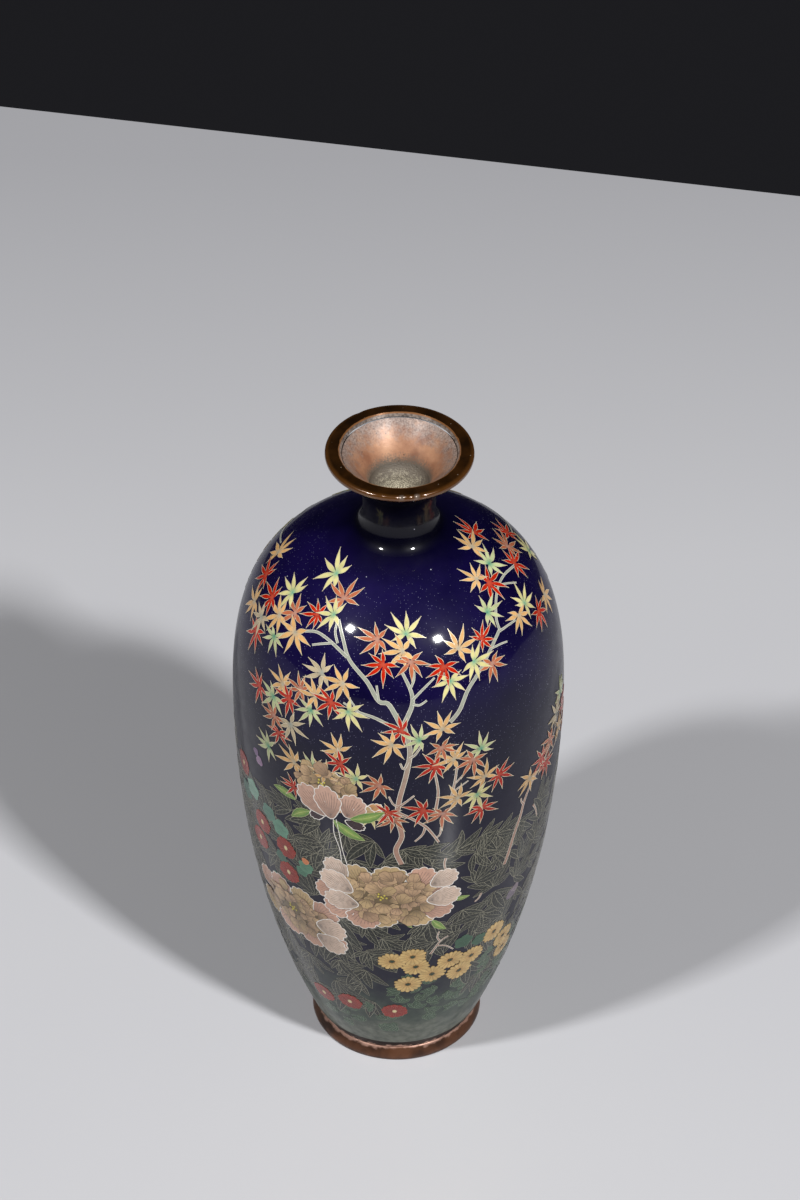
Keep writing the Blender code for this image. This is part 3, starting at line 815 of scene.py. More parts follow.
def peony(name, materials):
    """A peony: broad outer petals under and over a ruffled heart."""
    angle, height, *heart = PEONIES[name]
    place = (angle, height)
    chance = random.Random(len(name) + heart[-1])
    sheets = Sheet(), Sheet(wires=True), Sheet(wires=True)
    under = PEONY_PETALS[name]
    heart_lift = FLOWER_LIFT + len(under) * PETAL_STEP
    broad_petals(sheets, place, under, FLOWER_LIFT, chance)
    ruffles(sheets, place, heart, heart_lift, chance)
    broad_petals(sheets, place, PEONY_FRONT_PETALS[name], heart_lift + FRONT_PETAL_LIFT, chance)
    cells, wires, lines = sheets
    cells.finished(f"peony_{name}_petals", materials["enamel"], "peony_enamel", [f"peony_{name}"])
    wires.finished(f"peony_{name}_wires", materials["silver"], "silver_wire")
    lines.finished(f"peony_{name}_veins", materials["dull_wire"], "silver_wire")


# ---- chrysanthemums

YELLOW_MUMS = [
    (6.5, 50.3), (-2, 48.5), (8, 45.8), (23, 46.0), (15.5, 41.5), (33.5, 44.5), (28.5, 39.8), (5, 38.0),
    (44, 50.0), (52, 44.5), (55, 38.5), (196, 49.5), (205, 47.0), (213, 50.5), (207, 41.5), (221, 45.5),
]
RED_MUMS = [
    (-44, 81.5), (-44, 72.7), (-57, 84.0), (-60, 77.0), (-69, 97.5), (-1, 24.8), (-24, 26.3), (-40, 25.0),
    (116, 86.0), (127, 80.0), (170, 30.0), (184, 26.0),
]
MUM_KINDS = {
    "yellow": {
        "places": YELLOW_MUMS, "radius": 3.6, "petals": 16, "width": 0.53, "color": tone(208, 176, 116),
        "inner": tone(194, 154, 96), "heart": tone(42, 62, 46), "heart_size": (0.6, 0.5),
        "wire": tone(150, 112, 66),
    },
    "red": {
        "places": RED_MUMS, "radius": 3.4, "petals": 13, "width": 0.76, "color": tone(146, 46, 36),
        "inner": tone(120, 34, 28), "heart": tone(226, 206, 156), "heart_size": (0.6, 0.8),
        "wire": tone(170, 92, 76),
    },
}
PETAL_ROWS = (0.22, 0.4, 0.6, 0.8, 0.93, 1.0)
PETAL_WIDTHS = (0.40, 0.68, 0.95, 1.1, 0.86, 0.30)


def mum(name, kind, place, level, wires, materials):
    """A chrysanthemum head: a ring of narrow petals round a small heart."""
    cells = Sheet()
    spot = Spot(*place)
    lift = FLOWER_LIFT + 0.01 + level * LEVEL_STEP
    chance = random.Random(int(place[1] * 10))
    for number, turn in enumerate(turns(kind["petals"])):
        reach = kind["radius"] * chance.uniform(0.92, 1.04)
        spine = [towards(turn) * (reach * share) for share in PETAL_ROWS]
        shape = blade(spine, [kind["width"] * width for width in PETAL_WIDTHS])
        shade = chance.uniform(0.86, 1.06)
        tints = []
        for share in PETAL_ROWS:
            color = shaded(mixed(kind["inner"], kind["color"], min(1, share * 1.2)), shade)
            tints += [shaded(color, 0.9), color, shaded(color, 0.9)]
        petal_lift = lift + number % 2 * LOBE_STEP
        cells.cell(spot, shape, tints, petal_lift)
        points, _, border = shape
        wires.wire(spot, [points[index] for index in border], MUM_WIRE_WIDTH, petal_lift, kind["wire"])
    width, height = kind["heart_size"]
    outline = oval(width, height, 16)
    tints = ring_tints(kind["heart"], shaded(kind["heart"], 0.8), 16)
    cells.cell(spot, rounded(Vector((0, 0)), outline), tints, lift + 0.008)
    wires.wire(spot, outline, 0.1, lift + 0.008, kind["wire"], closed=True)
    cells.finished(f"{name}_petals", materials["enamel"], name.split("_")[1] + "_enamel", [name])


def mums(materials):
    for key, kind in MUM_KINDS.items():
        wires = Sheet(wires=True)
        for number, place in enumerate(kind["places"], 1):
            mum(f"mum_{key}_{number:02d}", kind, place, (6 - number) % 6, wires, materials)
        wires.finished(f"mum_{key}_wires", materials["silver"], "silver_wire")


# ---- foliage

LEAFLET_ROWS = (0.0, 0.12, 0.3, 0.5, 0.7, 0.86, 1.0)
LEAFLET_WIDTHS = (0.12, 0.52, 0.92, 1.0, 0.78, 0.42, 0.04)
SLATE = tone(45, 47, 42)
SLATE_WIRE = tone(146, 142, 122)
# Sprays of peony leaves as (first angle, last angle, lowest, highest, first and last heading).
SLATE_BANDS = {
    "upper_left": (-66, -26, 84, 99, 220, 330),
    "upper": (-30, 8, 87, 97, 100, 280),
    "upper_right": (6, 32, 84, 92, 60, 140),
    "right": (27, 64, 68, 92, 340, 520),
    "under_peony": (-24, 42, 52, 68, 110, 250),
    "under_left": (-66, -10, 26, 54, 130, 270),
    "middle_left": (-74, -28, 68, 86, 200, 360),
    "low_right": (32, 76, 32, 64, 90, 260),
    "back_right": (76, 132, 40, 96, 100, 300),
    "back": (136, 206, 36, 100, 60, 300),
    "back_left": (208, 294, 36, 100, 60, 300),
}
MOSS = tone(64, 84, 66)
MOSS_WIRE = tone(104, 124, 96)
MOSS_BANDS = {
    "front": (0, 46, 19, 40, 250, 470),
    "left": (-44, 2, 14, 26, 250, 470),
    "right": (44, 80, 22, 46, 250, 470),
    "back": (150, 230, 22, 48, 250, 470),
}
# Bright leaves by the peonies as (angle, height, heading, length).
BRIGHT_LEAVES = [
    (-37.5, 101.4, 272, 7.4), (-31.5, 99.6, 230, 7.6), (-22.4, 99.4, 121, 9.2), (-16.2, 101.4, 66, 9.2),
    (21, 71.6, 98, 4.6), (13.5, 64.8, 142, 6.0), (3.5, 65.2, 150, 3.0), (187, 99.0, 235, 7.0),
    (199, 99.4, 122, 7.0),
]
CROSSING_LEAF = 3             # the bright leaf that lies over a peony, and how high it lies
CROSSING_LEAF_LIFT = 0.24
BRIGHT = (tone(146, 166, 84), tone(80, 124, 68))
BRIGHT_WIRE = tone(190, 196, 130)
# Round lobed leaves and buds as (angle, height, size, colour).
ROUND_LEAVES = [
    (-46, 87.4, 2.9, tone(104, 146, 124)), (-52, 90.0, 2.6, tone(92, 128, 112)),
    (-62, 92.6, 3.0, tone(120, 158, 138)), (-68, 89.0, 2.8, tone(84, 116, 102)),
    (-35, 78.6, 2.2, tone(92, 132, 108)), (-47, 77.0, 2.0, tone(74, 104, 90)),
    (-37, 76.2, 1.8, tone(80, 120, 98)), (-52, 66.8, 1.8, tone(88, 120, 100)),
    (120, 92.0, 2.9, tone(104, 146, 124)), (110, 80.0, 2.6, tone(92, 128, 112)),
    (28, 52.4, 2.6, tone(62, 92, 72)), (36, 50.4, 2.2, tone(62, 92, 72)),
]
BUDS = [
    (-56, 105.4, 1.4, tone(150, 122, 150)), (-58, 107.4, 1.1, tone(120, 96, 128)),
    (-35, 80.6, 1.1, tone(204, 126, 84)), (50, 62.0, 1.8, tone(112, 100, 112)),
    (52, 63.4, 1.4, tone(130, 116, 124)),
]
VEIN_PAIRS = 4
LEAFLET_FAN = 32              # degrees between the leaflets of a spray


def leaflet(cells, wires, spot, length, half_width, lift, color, edge, wire_tint):
    """One lanceolate leaf with its wire and veins."""
    bend = length * 0.06
    spine = [Vector((bend * math.sin(math.pi * share), length * share)) for share in LEAFLET_ROWS]
    shape = blade(spine, [half_width * width for width in LEAFLET_WIDTHS])
    tints = []
    for share in LEAFLET_ROWS:
        middle = mixed(edge, color, 0.4 + 0.6 * math.sin(math.pi * share))
        tints += [edge, middle, shaded(edge, 0.85)]
    cells.cell(spot, shape, tints, lift)
    for path in (shape[0][0::3], shape[0][2::3], spine[:-1]):
        wires.wire(spot, path, LEAF_WIRE_WIDTH, lift, wire_tint)
    for pair in range(VEIN_PAIRS):
        share = 0.18 + 0.6 * pair / VEIN_PAIRS
        root = Vector((bend * math.sin(math.pi * share), length * share))
        for side in (-1, 1):
            tip = root + Vector((side * half_width * 0.72, length * 0.13))
            wires.wire(spot, [root, root.lerp(tip, 0.5), tip], VEIN_WIDTH, lift, shaded(wire_tint, 0.5))


def sprays(name, bands, color, wire_tint, length_range, slimness, materials):
    """Bands of compound leaves; the leaflets of each spray fan out from one place."""
    wires = Sheet(wires=True)
    spacing = length_range[0] * slimness * 6
    for number, (band, (first, last, lowest, highest, start, end)) in enumerate(bands.items()):
        chance = random.Random(31 + number)
        cells = Sheet()
        level = 0
        for place in scattered(chance, first, last, lowest, highest, spacing):
            heading = chance.uniform(start, end)
            leaflets = chance.choice((4, 5, 6))
            for leaf in range(leaflets):
                fan = (leaf - (leaflets - 1) / 2) * LEAFLET_FAN + chance.uniform(-6, 6)
                length = chance.uniform(*length_range) * (1 - abs(fan) / 220)
                level = (level + 1) % 6
                lift = FOLIAGE_LIFT + level * FOLIAGE_STEP
                shade = shaded(color, chance.uniform(0.7, 1.25))
                edge = shaded(shade, 0.62)
                spot = Spot(*place, heading + fan)
                leaflet(cells, wires, spot, length, length * slimness, lift, shade, edge, wire_tint)
        cells.finished(f"{name}_{band}", materials["enamel"], "foliage_enamel")
    wires.finished(f"{name}_wires", materials["dull_wire"], "silver_wire")


def small_leaves(materials):
    """Bright peony leaves, round lobed leaves and buds."""
    cells = Sheet()
    wires = Sheet(wires=True)
    for number, (angle, height, heading, length) in enumerate(BRIGHT_LEAVES):
        spot = Spot(angle, height, heading)
        lift = CROSSING_LEAF_LIFT if number == CROSSING_LEAF else BRANCH_LIFT + number * 0.001
        leaflet(cells, wires, spot, length, length * 0.17, lift, *BRIGHT, BRIGHT_WIRE)
    for lobes, places in ((5, ROUND_LEAVES), (3, BUDS)):
        for number, (angle, height, size, color) in enumerate(places):
            spot = Spot(angle, height, 37 * number)
            outline = [
                towards(turn) * (size * (0.82 + 0.2 * abs(math.cos(lobes * turn / 2)))) for turn in turns(30)
            ]
            lift = FLOWER_LIFT - 0.006 + number % 3 * 0.005
            tints = ring_tints(shaded(color, 0.8), color, len(outline))
            cells.cell(spot, rounded(Vector((0, 0)), outline), tints, lift)
            wires.wire(spot, outline, 0.1, lift, shaded(color, 1.3), closed=True)
            for turn in turns(lobes):
                tip = towards(turn) * (size * 0.8)
                wires.wire(spot, [Vector((0, 0)), tip / 2, tip], VEIN_WIDTH, lift, shaded(color, 1.2))
    cells.finished("small_leaves", materials["enamel"], "foliage_enamel")
    wires.finished("small_leaf_wires", materials["dull_wire"], "silver_wire")


def stems(materials):
    """Double stems under the upper peonies, as bare wires."""
    wires = Sheet(wires=True)
    for angle in (PEONIES["upper"][0], PEONIES["back_upper"][0]):
        for side in (-0.5, 0.5):
            places = [
                (angle + side, 100), (angle + side * 2 + 0.6, 95),
                (angle + side + 2, 90), (angle + side * 2 + 3, 85),
            ]
            middle = places[1]
            path = smooth_path([flat_between(*middle, *place) for place in places])
            wires.wire(Spot(*middle), path, STEM_WIDTH, BRANCH_LIFT, PEONY_WIRE)
    wires.finished("peony_stems", materials["silver"], "silver_wire")


# ---- materials


class Nodes:
    """A Principled material and short calls for the nodes that feed it."""

    def __init__(self, name, **sockets):
        self.material = bpy.data.materials.new(name)
        self.material.use_nodes = True
        self.tree = self.material.node_tree
        self.shader = self.tree.nodes["Principled BSDF"]
        for socket, value in sockets.items():
            self.shader.inputs[socket.replace("_", " ")].default_value = value
        self.place = self.add("ShaderNodeNewGeometry").outputs["Position"]

    def add(self, kind, **settings):
        node = self.tree.nodes.new(kind)
        for key, value in settings.items():
            setattr(node, key, value)
        return node

    def feed(self, value, socket):
        """Sets a number, place or colour on a socket, or links an output to it."""
        if isinstance(value, bpy.types.NodeSocket):
            self.tree.links.new(value, socket)
        else:
            socket.default_value = (*value, 1.0) if socket.type == "RGBA" else value

    def put(self, output, socket):
        self.feed(output, self.shader.inputs[socket])

    def noise(self, scale, detail=4.0):
        node = self.add("ShaderNodeTexNoise")
        self.feed(self.place, node.inputs["Vector"])
        self.feed(scale, node.inputs["Scale"])
        self.feed(detail, node.inputs["Detail"])
        return node.outputs["Fac"]

    def ramp(self, source, low, high, start=0.0, end=1.0):
        """Source, moved from low..high to start..end and held there."""
        node = self.add("ShaderNodeMapRange")
        names = ("Value", "From Min", "From Max", "To Min", "To Max")
        for name, value in zip(names, (source, low, high, start, end)):
            self.feed(value, node.inputs[name])
        return node.outputs["Result"]

    def math(self, operation, first, second):
        node = self.add("ShaderNodeMath", operation=operation)
        self.feed(first, node.inputs[0])
        self.feed(second, node.inputs[1])
        return node.outputs["Value"]

    def mix(self, share, first, second, blend="MIX"):
        """Two colours mixed. The node keeps its colours in sockets 6 and 7 and gives one in 2."""
        node = self.add("ShaderNodeMix", data_type="RGBA", blend_type=blend)
        self.feed(share, node.inputs[0])
        self.feed(first, node.inputs[6])
        self.feed(second, node.inputs[7])
        return node.outputs[2]

    def dimmed(self, color, factor):
        """A colour times a factor."""
        return self.mix(1.0, color, self.mix(factor, (0, 0, 0), (1, 1, 1)), "MULTIPLY")

    def mottled(self, scale, detail, first, second):
        """Two colours in soft patches."""
        return self.mix(self.ramp(self.noise(scale, detail), 0.35, 0.65), first, second)

    def wandering(self, scale, detail, low, high):
        """A number that wanders between two others from place to place."""
        return self.ramp(self.noise(scale, detail), 0.3, 0.7, low, high)

    def ragged(self, source, scale, detail, reach):
        """A measure pushed up and down a little, for uneven borders."""
        return self.math("ADD", source, self.wandering(scale, detail, -reach, reach))

    def bump(self, height, strength, distance):
        node = self.add("ShaderNodeBump")
        for name, value in (("Height", height), ("Strength", strength), ("Distance", distance)):
            self.feed(value, node.inputs[name])
        self.put(node.outputs["Normal"], "Normal")

    def measure(self, axis):
        """The place along an axis."""
        node = self.add("ShaderNodeSeparateXYZ")
        self.feed(self.place, node.inputs["Vector"])
        return node.outputs[axis]

    def radius(self):
        """Distance from the vase's axis."""
        flat = self.add("ShaderNodeVectorMath", operation="MULTIPLY")
        self.feed(self.place, flat.inputs[0])
        self.feed((1, 1, 0), flat.inputs[1])
        length = self.add("ShaderNodeVectorMath", operation="LENGTH")
        self.feed(flat.outputs["Vector"], length.inputs[0])
        return length.outputs["Value"]

    def distance(self, point):
        node = self.add("ShaderNodeVectorMath", operation="DISTANCE")
        self.feed(self.place, node.inputs[0])
        self.feed(point, node.inputs[1])
        return node.outputs["Value"]

    def specks(self, scale, size, share):
        """Small round specks: 1 inside them."""
        node = self.add("ShaderNodeTexVoronoi")
        self.feed(scale, node.inputs["Scale"])
        self.feed(self.place, node.inputs["Vector"])
        chosen = self.add("ShaderNodeSeparateColor")
        self.feed(node.outputs["Color"], chosen.inputs["Color"])
        near = self.ramp(node.outputs["Distance"], size * 0.5, size, 1, 0)
        return self.math("MULTIPLY", near, self.math("GREATER_THAN", chosen.outputs["Red"], 1 - share))


def cell_enamel():
    """Polished enamel in the colours of its cells, faintly clouded and pitted."""
    nodes = Nodes("cell_enamel", Specular_IOR_Level=0.28)
    tint = nodes.add("ShaderNodeAttribute", attribute_name="tint").outputs["Color"]
    clouded = nodes.dimmed(tint, nodes.wandering(700, 4, 0.82, 1.1))
    pits = nodes.math("MULTIPLY", nodes.specks(1500, 0.16, 0.12), 0.45)
    nodes.put(nodes.mix(pits, clouded, (0.05, 0.045, 0.04)), "Base Color")
    nodes.put(nodes.wandering(400, 4, 0.10, 0.2), "Roughness")
    nodes.bump(nodes.noise(500), 0.12, 0.0002)
    return nodes.material


def ground_enamel():
    """Deep cobalt with pale, dusty specks, clouding to grey-green towards the foot; the blue is lighter on
    the upper shoulder as painted sheen and near black on the neck as painted shade.
    """
    nodes = Nodes("ground_enamel", Coat_Weight=0.46, Coat_Roughness=0.07, Specular_IOR_Level=0.06)
    height = nodes.measure("Z")
    blue = nodes.mottled(60, 4, tone(16, 11, 46), tone(26, 19, 62))
    # Painted sheen: the blue is lighter on the upper shoulder, where the lights' haze falls, than on the
    # belly below it.
    belly = nodes.mix(nodes.ramp(height, 0.120, 0.142), tone(11, 8, 36), blue)
    # Painted shade: the neck is darkened where the rim's overhang shades it.
    cobalt = nodes.mix(nodes.ramp(height, 0.158, 0.163), belly, tone(5, 3, 20))
    border = nodes.ragged(height, 160, 6, 0.006)
    moss = nodes.mottled(240, 6, tone(40, 52, 46), tone(66, 76, 66))
    hem = nodes.mottled(500, 6, tone(74, 80, 70), tone(104, 108, 96))
    low = nodes.mix(nodes.ramp(border, 0.012, 0.020), hem, moss)
    color = nodes.mix(nodes.ramp(border, 0.024, 0.042), low, cobalt)
    patchy = nodes.ramp(nodes.noise(45), 0.38, 0.58, 0.2, 1)
    # Partly painted glints: the pale specks and grains are real dust in the enamel, but they thin out below
    # the shoulder, away from the lights, and the specks stop at the shaded neck.
    dust_and_glint = nodes.math("MULTIPLY", nodes.specks(2100, 0.2, 0.4), nodes.ramp(height, 0.10, 0.125, 0.1, 0.7))
    dust_and_glint = nodes.math("MULTIPLY", dust_and_glint, nodes.ramp(height, 0.156, 0.160, 1, 0))
    dusted_and_glinting = nodes.mix(nodes.math("MULTIPLY", dust_and_glint, patchy), color, tone(150, 150, 180))
    grains_and_glints = nodes.math("MULTIPLY", nodes.specks(520, 0.10, 0.10), nodes.ramp(height, 0.10, 0.14, 0.1, 0.8))
    nodes.put(nodes.mix(grains_and_glints, dusted_and_glinting, tone(190, 190, 205)), "Base Color")
    nodes.put(nodes.wandering(300, 4, 0.36, 0.5), "Roughness")
    nodes.bump(nodes.noise(220), 0.10, 0.0002)
    return nodes.material


def silver(name, dark, metallic):
    """Polished wire, a little tarnished, in the tint of its own run."""
    nodes = Nodes(name, Metallic=metallic)
    tint = nodes.add("ShaderNodeAttribute", attribute_name="tint").outputs["Color"]
    tarnish = nodes.ramp(nodes.noise(900, 5), 0.35, 0.65, dark, 1)
    nodes.put(nodes.dimmed(tint, tarnish), "Base Color")
    nodes.put(nodes.wandering(1200, 4, 0.2, 0.4), "Roughness")
    return nodes.material


def worn_copper():
    """Rubbed copper: orange-brown, mottled, grey and oxidised towards the rim, and darker grey-brown low in
    the throat.
    """
    nodes = Nodes("worn_copper", Metallic=0.2, Coat_Weight=0.3, Coat_Roughness=0.42)
    warm = nodes.mix(nodes.ramp(nodes.noise(180, 7), 0.35, 0.68), tone(140, 96, 72), tone(188, 142, 110))
    stain = nodes.math("MULTIPLY", nodes.ramp(nodes.noise(110, 5), 0.56, 0.70), 0.6)
    stained = nodes.mix(stain, warm, tone(84, 54, 46))
    height = nodes.measure("Z")
    grey = nodes.mottled(2200, 6, tone(104, 94, 90), tone(164, 150, 142))
    border = nodes.ragged(height, 700, 8, 0.0016)
    rimmed = nodes.mix(nodes.ramp(border, 0.1796, 0.1836, 0, 0.8), stained, grey)
    speckled = nodes.ragged(height, 2600, 4, 0.0009)
    throat_grey = nodes.mix(nodes.ramp(speckled, 0.1754, 0.1776, 1, 0), rimmed, tone(104, 96, 86))
    spots = nodes.math("MULTIPLY", nodes.specks(900, 0.22, 0.2), 0.6)
    nodes.put(nodes.mix(spots, throat_grey, tone(60, 40, 34)), "Base Color")
    nodes.put(nodes.wandering(260, 6, 0.44, 0.6), "Roughness")
    nodes.bump(nodes.noise(600, 8), 0.3, 0.0003)
    return nodes.material


def foot_copper():
    """Brown patinated copper with a painted highlight on its ridge, painted shade above the ring and a darker
    reddish brown at its bottom edge.
    """
    nodes = Nodes("foot_copper", Metallic=0.5)
    brown = nodes.mottled(160, 7, tone(58, 40, 31), tone(106, 70, 50))
    border = nodes.ragged(nodes.measure("Z"), 500, 7, 0.0005)
    # Painted highlight: a pale band along the ridge, where the lights glint on it.
    ridge_highlight = nodes.mix(nodes.ramp(border, 0.0031, 0.0036, 0, 0.75), brown, tone(198, 156, 138))
    # Painted shade: the copper above the ring, in the undercut under the enamel's edge, is dark brown.
    groove_shade = nodes.mix(nodes.ramp(border, 0.0040, 0.0044, 0, 1), ridge_highlight, tone(46, 32, 26))
    red = nodes.mix(nodes.ramp(border, 0.0003, 0.0010, 0.6, 0), groove_shade, tone(58, 34, 26))
    nodes.put(red, "Base Color")
    nodes.put(nodes.wandering(300, 6, 0.28, 0.5), "Roughness")
    nodes.bump(nodes.noise(700, 8), 0.3, 0.0002)
    return nodes.material


def rim_patina():
    """Glossy dark brown patina, worn to warm copper on its edges and pale in its dents."""
    nodes = Nodes("rim_patina", Metallic=0.3, Coat_Weight=0.5, Coat_Roughness=0.12)
    border = nodes.ragged(nodes.radius(), 500, 7, 0.0001)
    dark = nodes.mottled(200, 6, tone(34, 22, 9), tone(56, 35, 15))
    outer = nodes.mix(nodes.ramp(border, 0.0168, 0.0178, 0, 0.9), dark, tone(94, 60, 28))
    edge = nodes.ramp(border, 0.01458, 0.01472, 1, 0)
    inner = nodes.mix(edge, outer, tone(140, 96, 60))
    bore = nodes.math("MULTIPLY", nodes.ramp(nodes.measure("Z"), 0.1846, 0.1848, 1, 0), edge)
    color = nodes.mix(bore, inner, nodes.mottled(1400, 6, tone(92, 84, 80), tone(156, 142, 132)))
    for angle, _, _ in RIM_DENTS[:2]:
        across, ahead = towards(math.radians(angle)) * (RIM_RADIUS - 0.4)
        apart = nodes.distance(Vector((across, -ahead, TOP_Z - 0.6)) * MM)
        color = nodes.mix(nodes.ramp(apart, 0.0002, 0.0009, 0.8, 0), color, tone(128, 116, 106))
    pits = nodes.math("MULTIPLY", nodes.specks(1300, 0.2, 0.06), 0.6)
    nodes.put(nodes.mix(pits, color, tone(190, 170, 150)), "Base Color")
    nodes.put(nodes.wandering(260, 5, 0.16, 0.34), "Roughness")
    nodes.bump(nodes.noise(450, 6), 0.22, 0.0002)
    return nodes.material


def counter_enamel():
    """Coarse speckled enamel, cream and grey, dark where it ends in the throat."""
    nodes = Nodes("counter_enamel", Roughness=0.6)
    height = nodes.measure("Z")
    border = nodes.ragged(height, 900, 6, 0.0015)
    pale = nodes.mix(nodes.ramp(border, 0.1680, 0.1738), tone(236, 226, 198), tone(112, 104, 92))
    grit = nodes.ramp(nodes.noise(4200, 4), 0.44, 0.56, 0.9, 0)
    gritty = nodes.mix(grit, pale, tone(92, 84, 74))
    nodes.put(nodes.mix(nodes.ramp(height, 0.1738, 0.1750), gritty, tone(84, 76, 66)), "Base Color")
    nodes.bump(nodes.noise(2400, 5), 0.5, 0.0004)
    return nodes.material


# ---- the vessel


# Dents in the rim as (angle, half width in degrees, depth). The first two are coloured pale.
RIM_DENTS = ((1.8, 2.6, 0.50), (13.8, 2.8, 0.46), (-14, 2.4, 0.14), (-146, 3.0, 0.12))


def rim_dent(angle, point):
    """How far the rim's metal is pushed in at an angle, (radially, down)."""
    depth = 0.0
    for where, width, deep in RIM_DENTS:
        depth += deep * math.exp(-((angle - where) / width) ** 2)
    outer = held((point.x - RIM_BORE - 1.2) / 2)
    return Vector((depth * outer * 0.6, depth * outer * 0.8))


def feathered(line, wall_depth, depth):
    """The line moved inwards as far as the throat, where it closes on the copper."""
    copper = inward(line, wall_depth)
    face = inward(line, wall_depth + depth)
    return [
        against.lerp(point, min(1, (THROAT_Z - point.y) / 3))
        for against, point in zip(copper, face) if point.y < THROAT_Z
    ]


def vessel(materials):
    """Every turned piece, seen or half hidden."""
    copper_depth = GROUND + GAP
    outer = BELLY_LINE
    turned("ground_shell", outer + inward(outer, GROUND)[::-1], materials["ground"],
           ["ground_enamel"])
    neck = NECK_LINE
    turned("neck_shell", neck + inward(neck, GROUND)[::-1], materials["ground"],
           ["neck_enamel"])
    core = inward(outer, copper_depth)
    inside = inward(outer, copper_depth + COPPER)
    skirt = [Vector((inside[0].x, FOOT_RING_TOP + GAP)), Vector((core[0].x, FOOT_RING_TOP + GAP))]
    # This copper takes the foot's material, which paints it in the groove's dark shade.
    turned("belly_copper", core + inside[::-1] + skirt, materials["foot"], ["vessel_core"])
    sleeve = inward(neck, copper_depth)
    bore = inward(neck, copper_depth + COPPER)
    turned("funnel_copper", sleeve + bore[::-1], materials["copper"], ["neck_core"])
    liner = feathered(outer + neck[1:], copper_depth + COPPER, GAP)
    face = feathered(outer + neck[1:], copper_depth + COPPER, GAP + LINING)
    floor_z = FOOT_RING_TOP + GAP + COPPER + GAP
    cup = [Vector((0.01, floor_z + LINING)), Vector((0.01, floor_z))]
    turned("lining_shell", liner + face[::-1] + cup, materials["counter"],
           ["lining_enamel"])


# The rim's section as (inwards or outwards, down) from its inner and outer upper corners.
RIM_INNER_EDGE = ((0, 0.15), (0.10, 0.02), (0.30, 0), (0.55, 0.06), (1.3, 0.12), (2.1, 0.12))
RIM_OUTER_EDGE = (
    (0.75, 0.14), (0.40, 0.24), (0.14, 0.46), (0.02, 0.80), (0, 1.15), (0.10, 1.50), (0.35, 1.76),
    (0.75, 1.95),
)


def rim(materials):
    """The rim ring, softly rounded, with its small dents."""
    below, lip = NECK_LINE[-2:]
    along = (lip - below).normalized()
    seat = lip + along * GAP
    seat_end = seat + Vector((-along.y, along.x)) * (GROUND + GAP + COPPER)
    section = [Vector((RIM_BORE + across, TOP_Z - drop)) for across, drop in RIM_INNER_EDGE]
    section += [Vector((RIM_RADIUS - across, TOP_Z - drop)) for across, drop in RIM_OUTER_EDGE]
    section += [Vector((seat.x + GAP, seat.y - GAP)), seat, seat_end]
    turned("rim", section, materials["rim"], ["rim_ring"], dent=rim_dent)


def foot(materials):
    """The foot ring with its ridge, and the base inside it."""
    ring = [
        (FOOT_RING_BORE, FOOT_RING_TOP), (20.2, FOOT_RING_TOP), (20.75, 3.72), (20.98, 3.5), (21.1, 3.2),
        (21.35, 2.7), (21.65, 2.1), (21.82, 1.6), (FOOT_RING_RADIUS, 1.2), (FOOT_RING_RADIUS, 0.5),
        (21.75, 0.18), (21.5, 0), (18.2, 0), (17.9, 0.15), (FOOT_RING_BORE, 0.4),
    ]
    turned("foot_band", [Vector(point) for point in ring], materials["foot"], ["foot_ring"])
    carried = (("base_plate", "copper", "foot"), ("base_enamel", "counter_enamel", "counter"))
    for name, slot, material in carried:
        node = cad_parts[name]
        node.data.materials.clear()
        node.data.materials.append(materials[material])


# ---- floor, light and camera, all in metres

CAMERA_PLACE = Vector((0.0, -0.9306, 0.9299))
CAMERA_AIM = Vector((0.0003, 0.0, 0.1379))
CAMERA_ROLL = math.radians(0.33)
LENS = 150                    # millimetres, as is the sensor's width
SENSOR = 36
LIGHTS = {
    "left": (Vector((-0.505, -0.400, 0.760)), 35.5),
    "right": (Vector((0.430, -0.545, 0.720)), 53.0),
}
LIGHT_DISTANCE = 2.4
LIGHT_RISE = 0.12             # the height that the lights turn about
LIGHT_SIZE = (0.18, 0.20)
FLOOR_HALF_WIDTH = 1.6
FLOOR_NEAR = -1.8
FLOOR_END = 0.384             # how far behind the vase the floor ends
FLOOR_SLANT = 0.184           # how much further back it ends for each metre to the left


def pale_floor():
    """A pale floor that ends against the dark, darker towards the back as painted shade."""
    mesh = bpy.data.meshes.new("floor")
    slant = FLOOR_SLANT * FLOOR_HALF_WIDTH
    corners = [
        (-FLOOR_HALF_WIDTH, FLOOR_NEAR, 0), (FLOOR_HALF_WIDTH, FLOOR_NEAR, 0),
        (FLOOR_HALF_WIDTH, FLOOR_END - slant, 0), (-FLOOR_HALF_WIDTH, FLOOR_END + slant, 0),
    ]
    mesh.from_pydata(corners, [], [[0, 1, 2, 3]])
    floor = placed("floor", mesh)
    nodes = Nodes("floor", Roughness=0.24)
    paper = nodes.mix(nodes.ramp(nodes.noise(3), 0.3, 0.7), tone(196, 196, 200), tone(201, 201, 204))
    # Painted shade: the floor darkens towards its back edge, standing in for the lights' falloff.
    nodes.put(nodes.mix(nodes.ramp(nodes.measure("Y"), 0.18, 0.38), paper, tone(178, 178, 182)), "Base Color")
    mesh.materials.append(nodes.material)


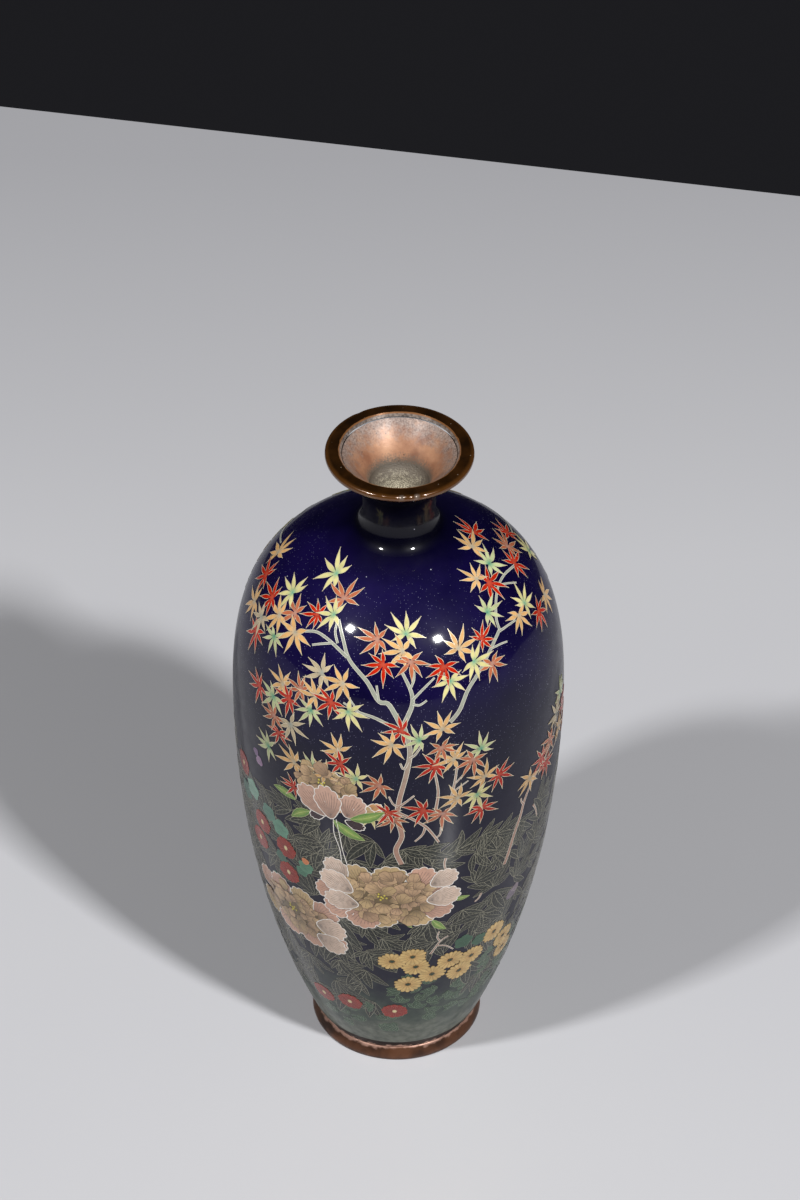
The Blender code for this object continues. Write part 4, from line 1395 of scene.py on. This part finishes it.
def lights():
    """Two soft boxes, and a nearly dark world."""
    world = bpy.data.worlds.new("studio")
    bpy.context.scene.world = world
    world.use_nodes = True
    world.node_tree.nodes["Background"].inputs["Color"].default_value = (0.012, 0.012, 0.014, 1)
    for name, (direction, power) in LIGHTS.items():
        data = bpy.data.lights.new(f"softbox_{name}", "AREA")
        data.shape = "RECTANGLE"
        data.size, data.size_y = LIGHT_SIZE
        data.energy = power
        place = direction.normalized() * LIGHT_DISTANCE + Vector((0, 0, LIGHT_RISE))
        pointed(placed(f"softbox_{name}", data), place, -direction)


def pointed(thing, place, direction, roll=0.0):
    """Puts a lamp or camera in its place and turns it along a direction."""
    thing.location = place
    thing.rotation_mode = "QUATERNION"
    thing.rotation_quaternion = direction.to_track_quat("-Z", "Y") @ Quaternion((0, 0, 1), roll)


def view():
    """The camera: a long lens that looks down on the vase."""
    data = bpy.data.cameras.new("camera")
    data.lens = LENS
    data.sensor_width = SENSOR
    camera = placed("camera", data)
    pointed(camera, CAMERA_PLACE, CAMERA_AIM - CAMERA_PLACE, CAMERA_ROLL)
    bpy.context.scene.camera = camera
    bpy.context.scene.view_settings.view_transform = "Standard"


def build():
    materials = {
        "ground": ground_enamel(),
        "enamel": cell_enamel(),
        "silver": silver("silver_wire", 0.8, 0.1),
        "dull_wire": silver("tarnished_wire", 0.7, 0.0),
        "copper": worn_copper(),
        "foot": foot_copper(),
        "rim": rim_patina(),
        "counter": counter_enamel(),
    }
    vessel(materials)
    rim(materials)
    foot(materials)
    sprays("peony_foliage", SLATE_BANDS, SLATE, SLATE_WIRE, (7.5, 12.5), 0.14, materials)
    sprays("mum_foliage", MOSS_BANDS, MOSS, MOSS_WIRE, (2.6, 4.6), 0.26, materials)
    small_leaves(materials)
    stems(materials)
    branches("front", FRONT_BRANCHES, "maple_trunk_front", materials)
    branches("right", RIGHT_BRANCHES, "maple_trunk_right", materials)
    branches("back", BACK_BRANCHES, "maple_trunk_back", materials)
    for name in PEONIES:
        peony(name, materials)
    mums(materials)
    maples(materials)
    pale_floor()
    lights()
    view()


build()
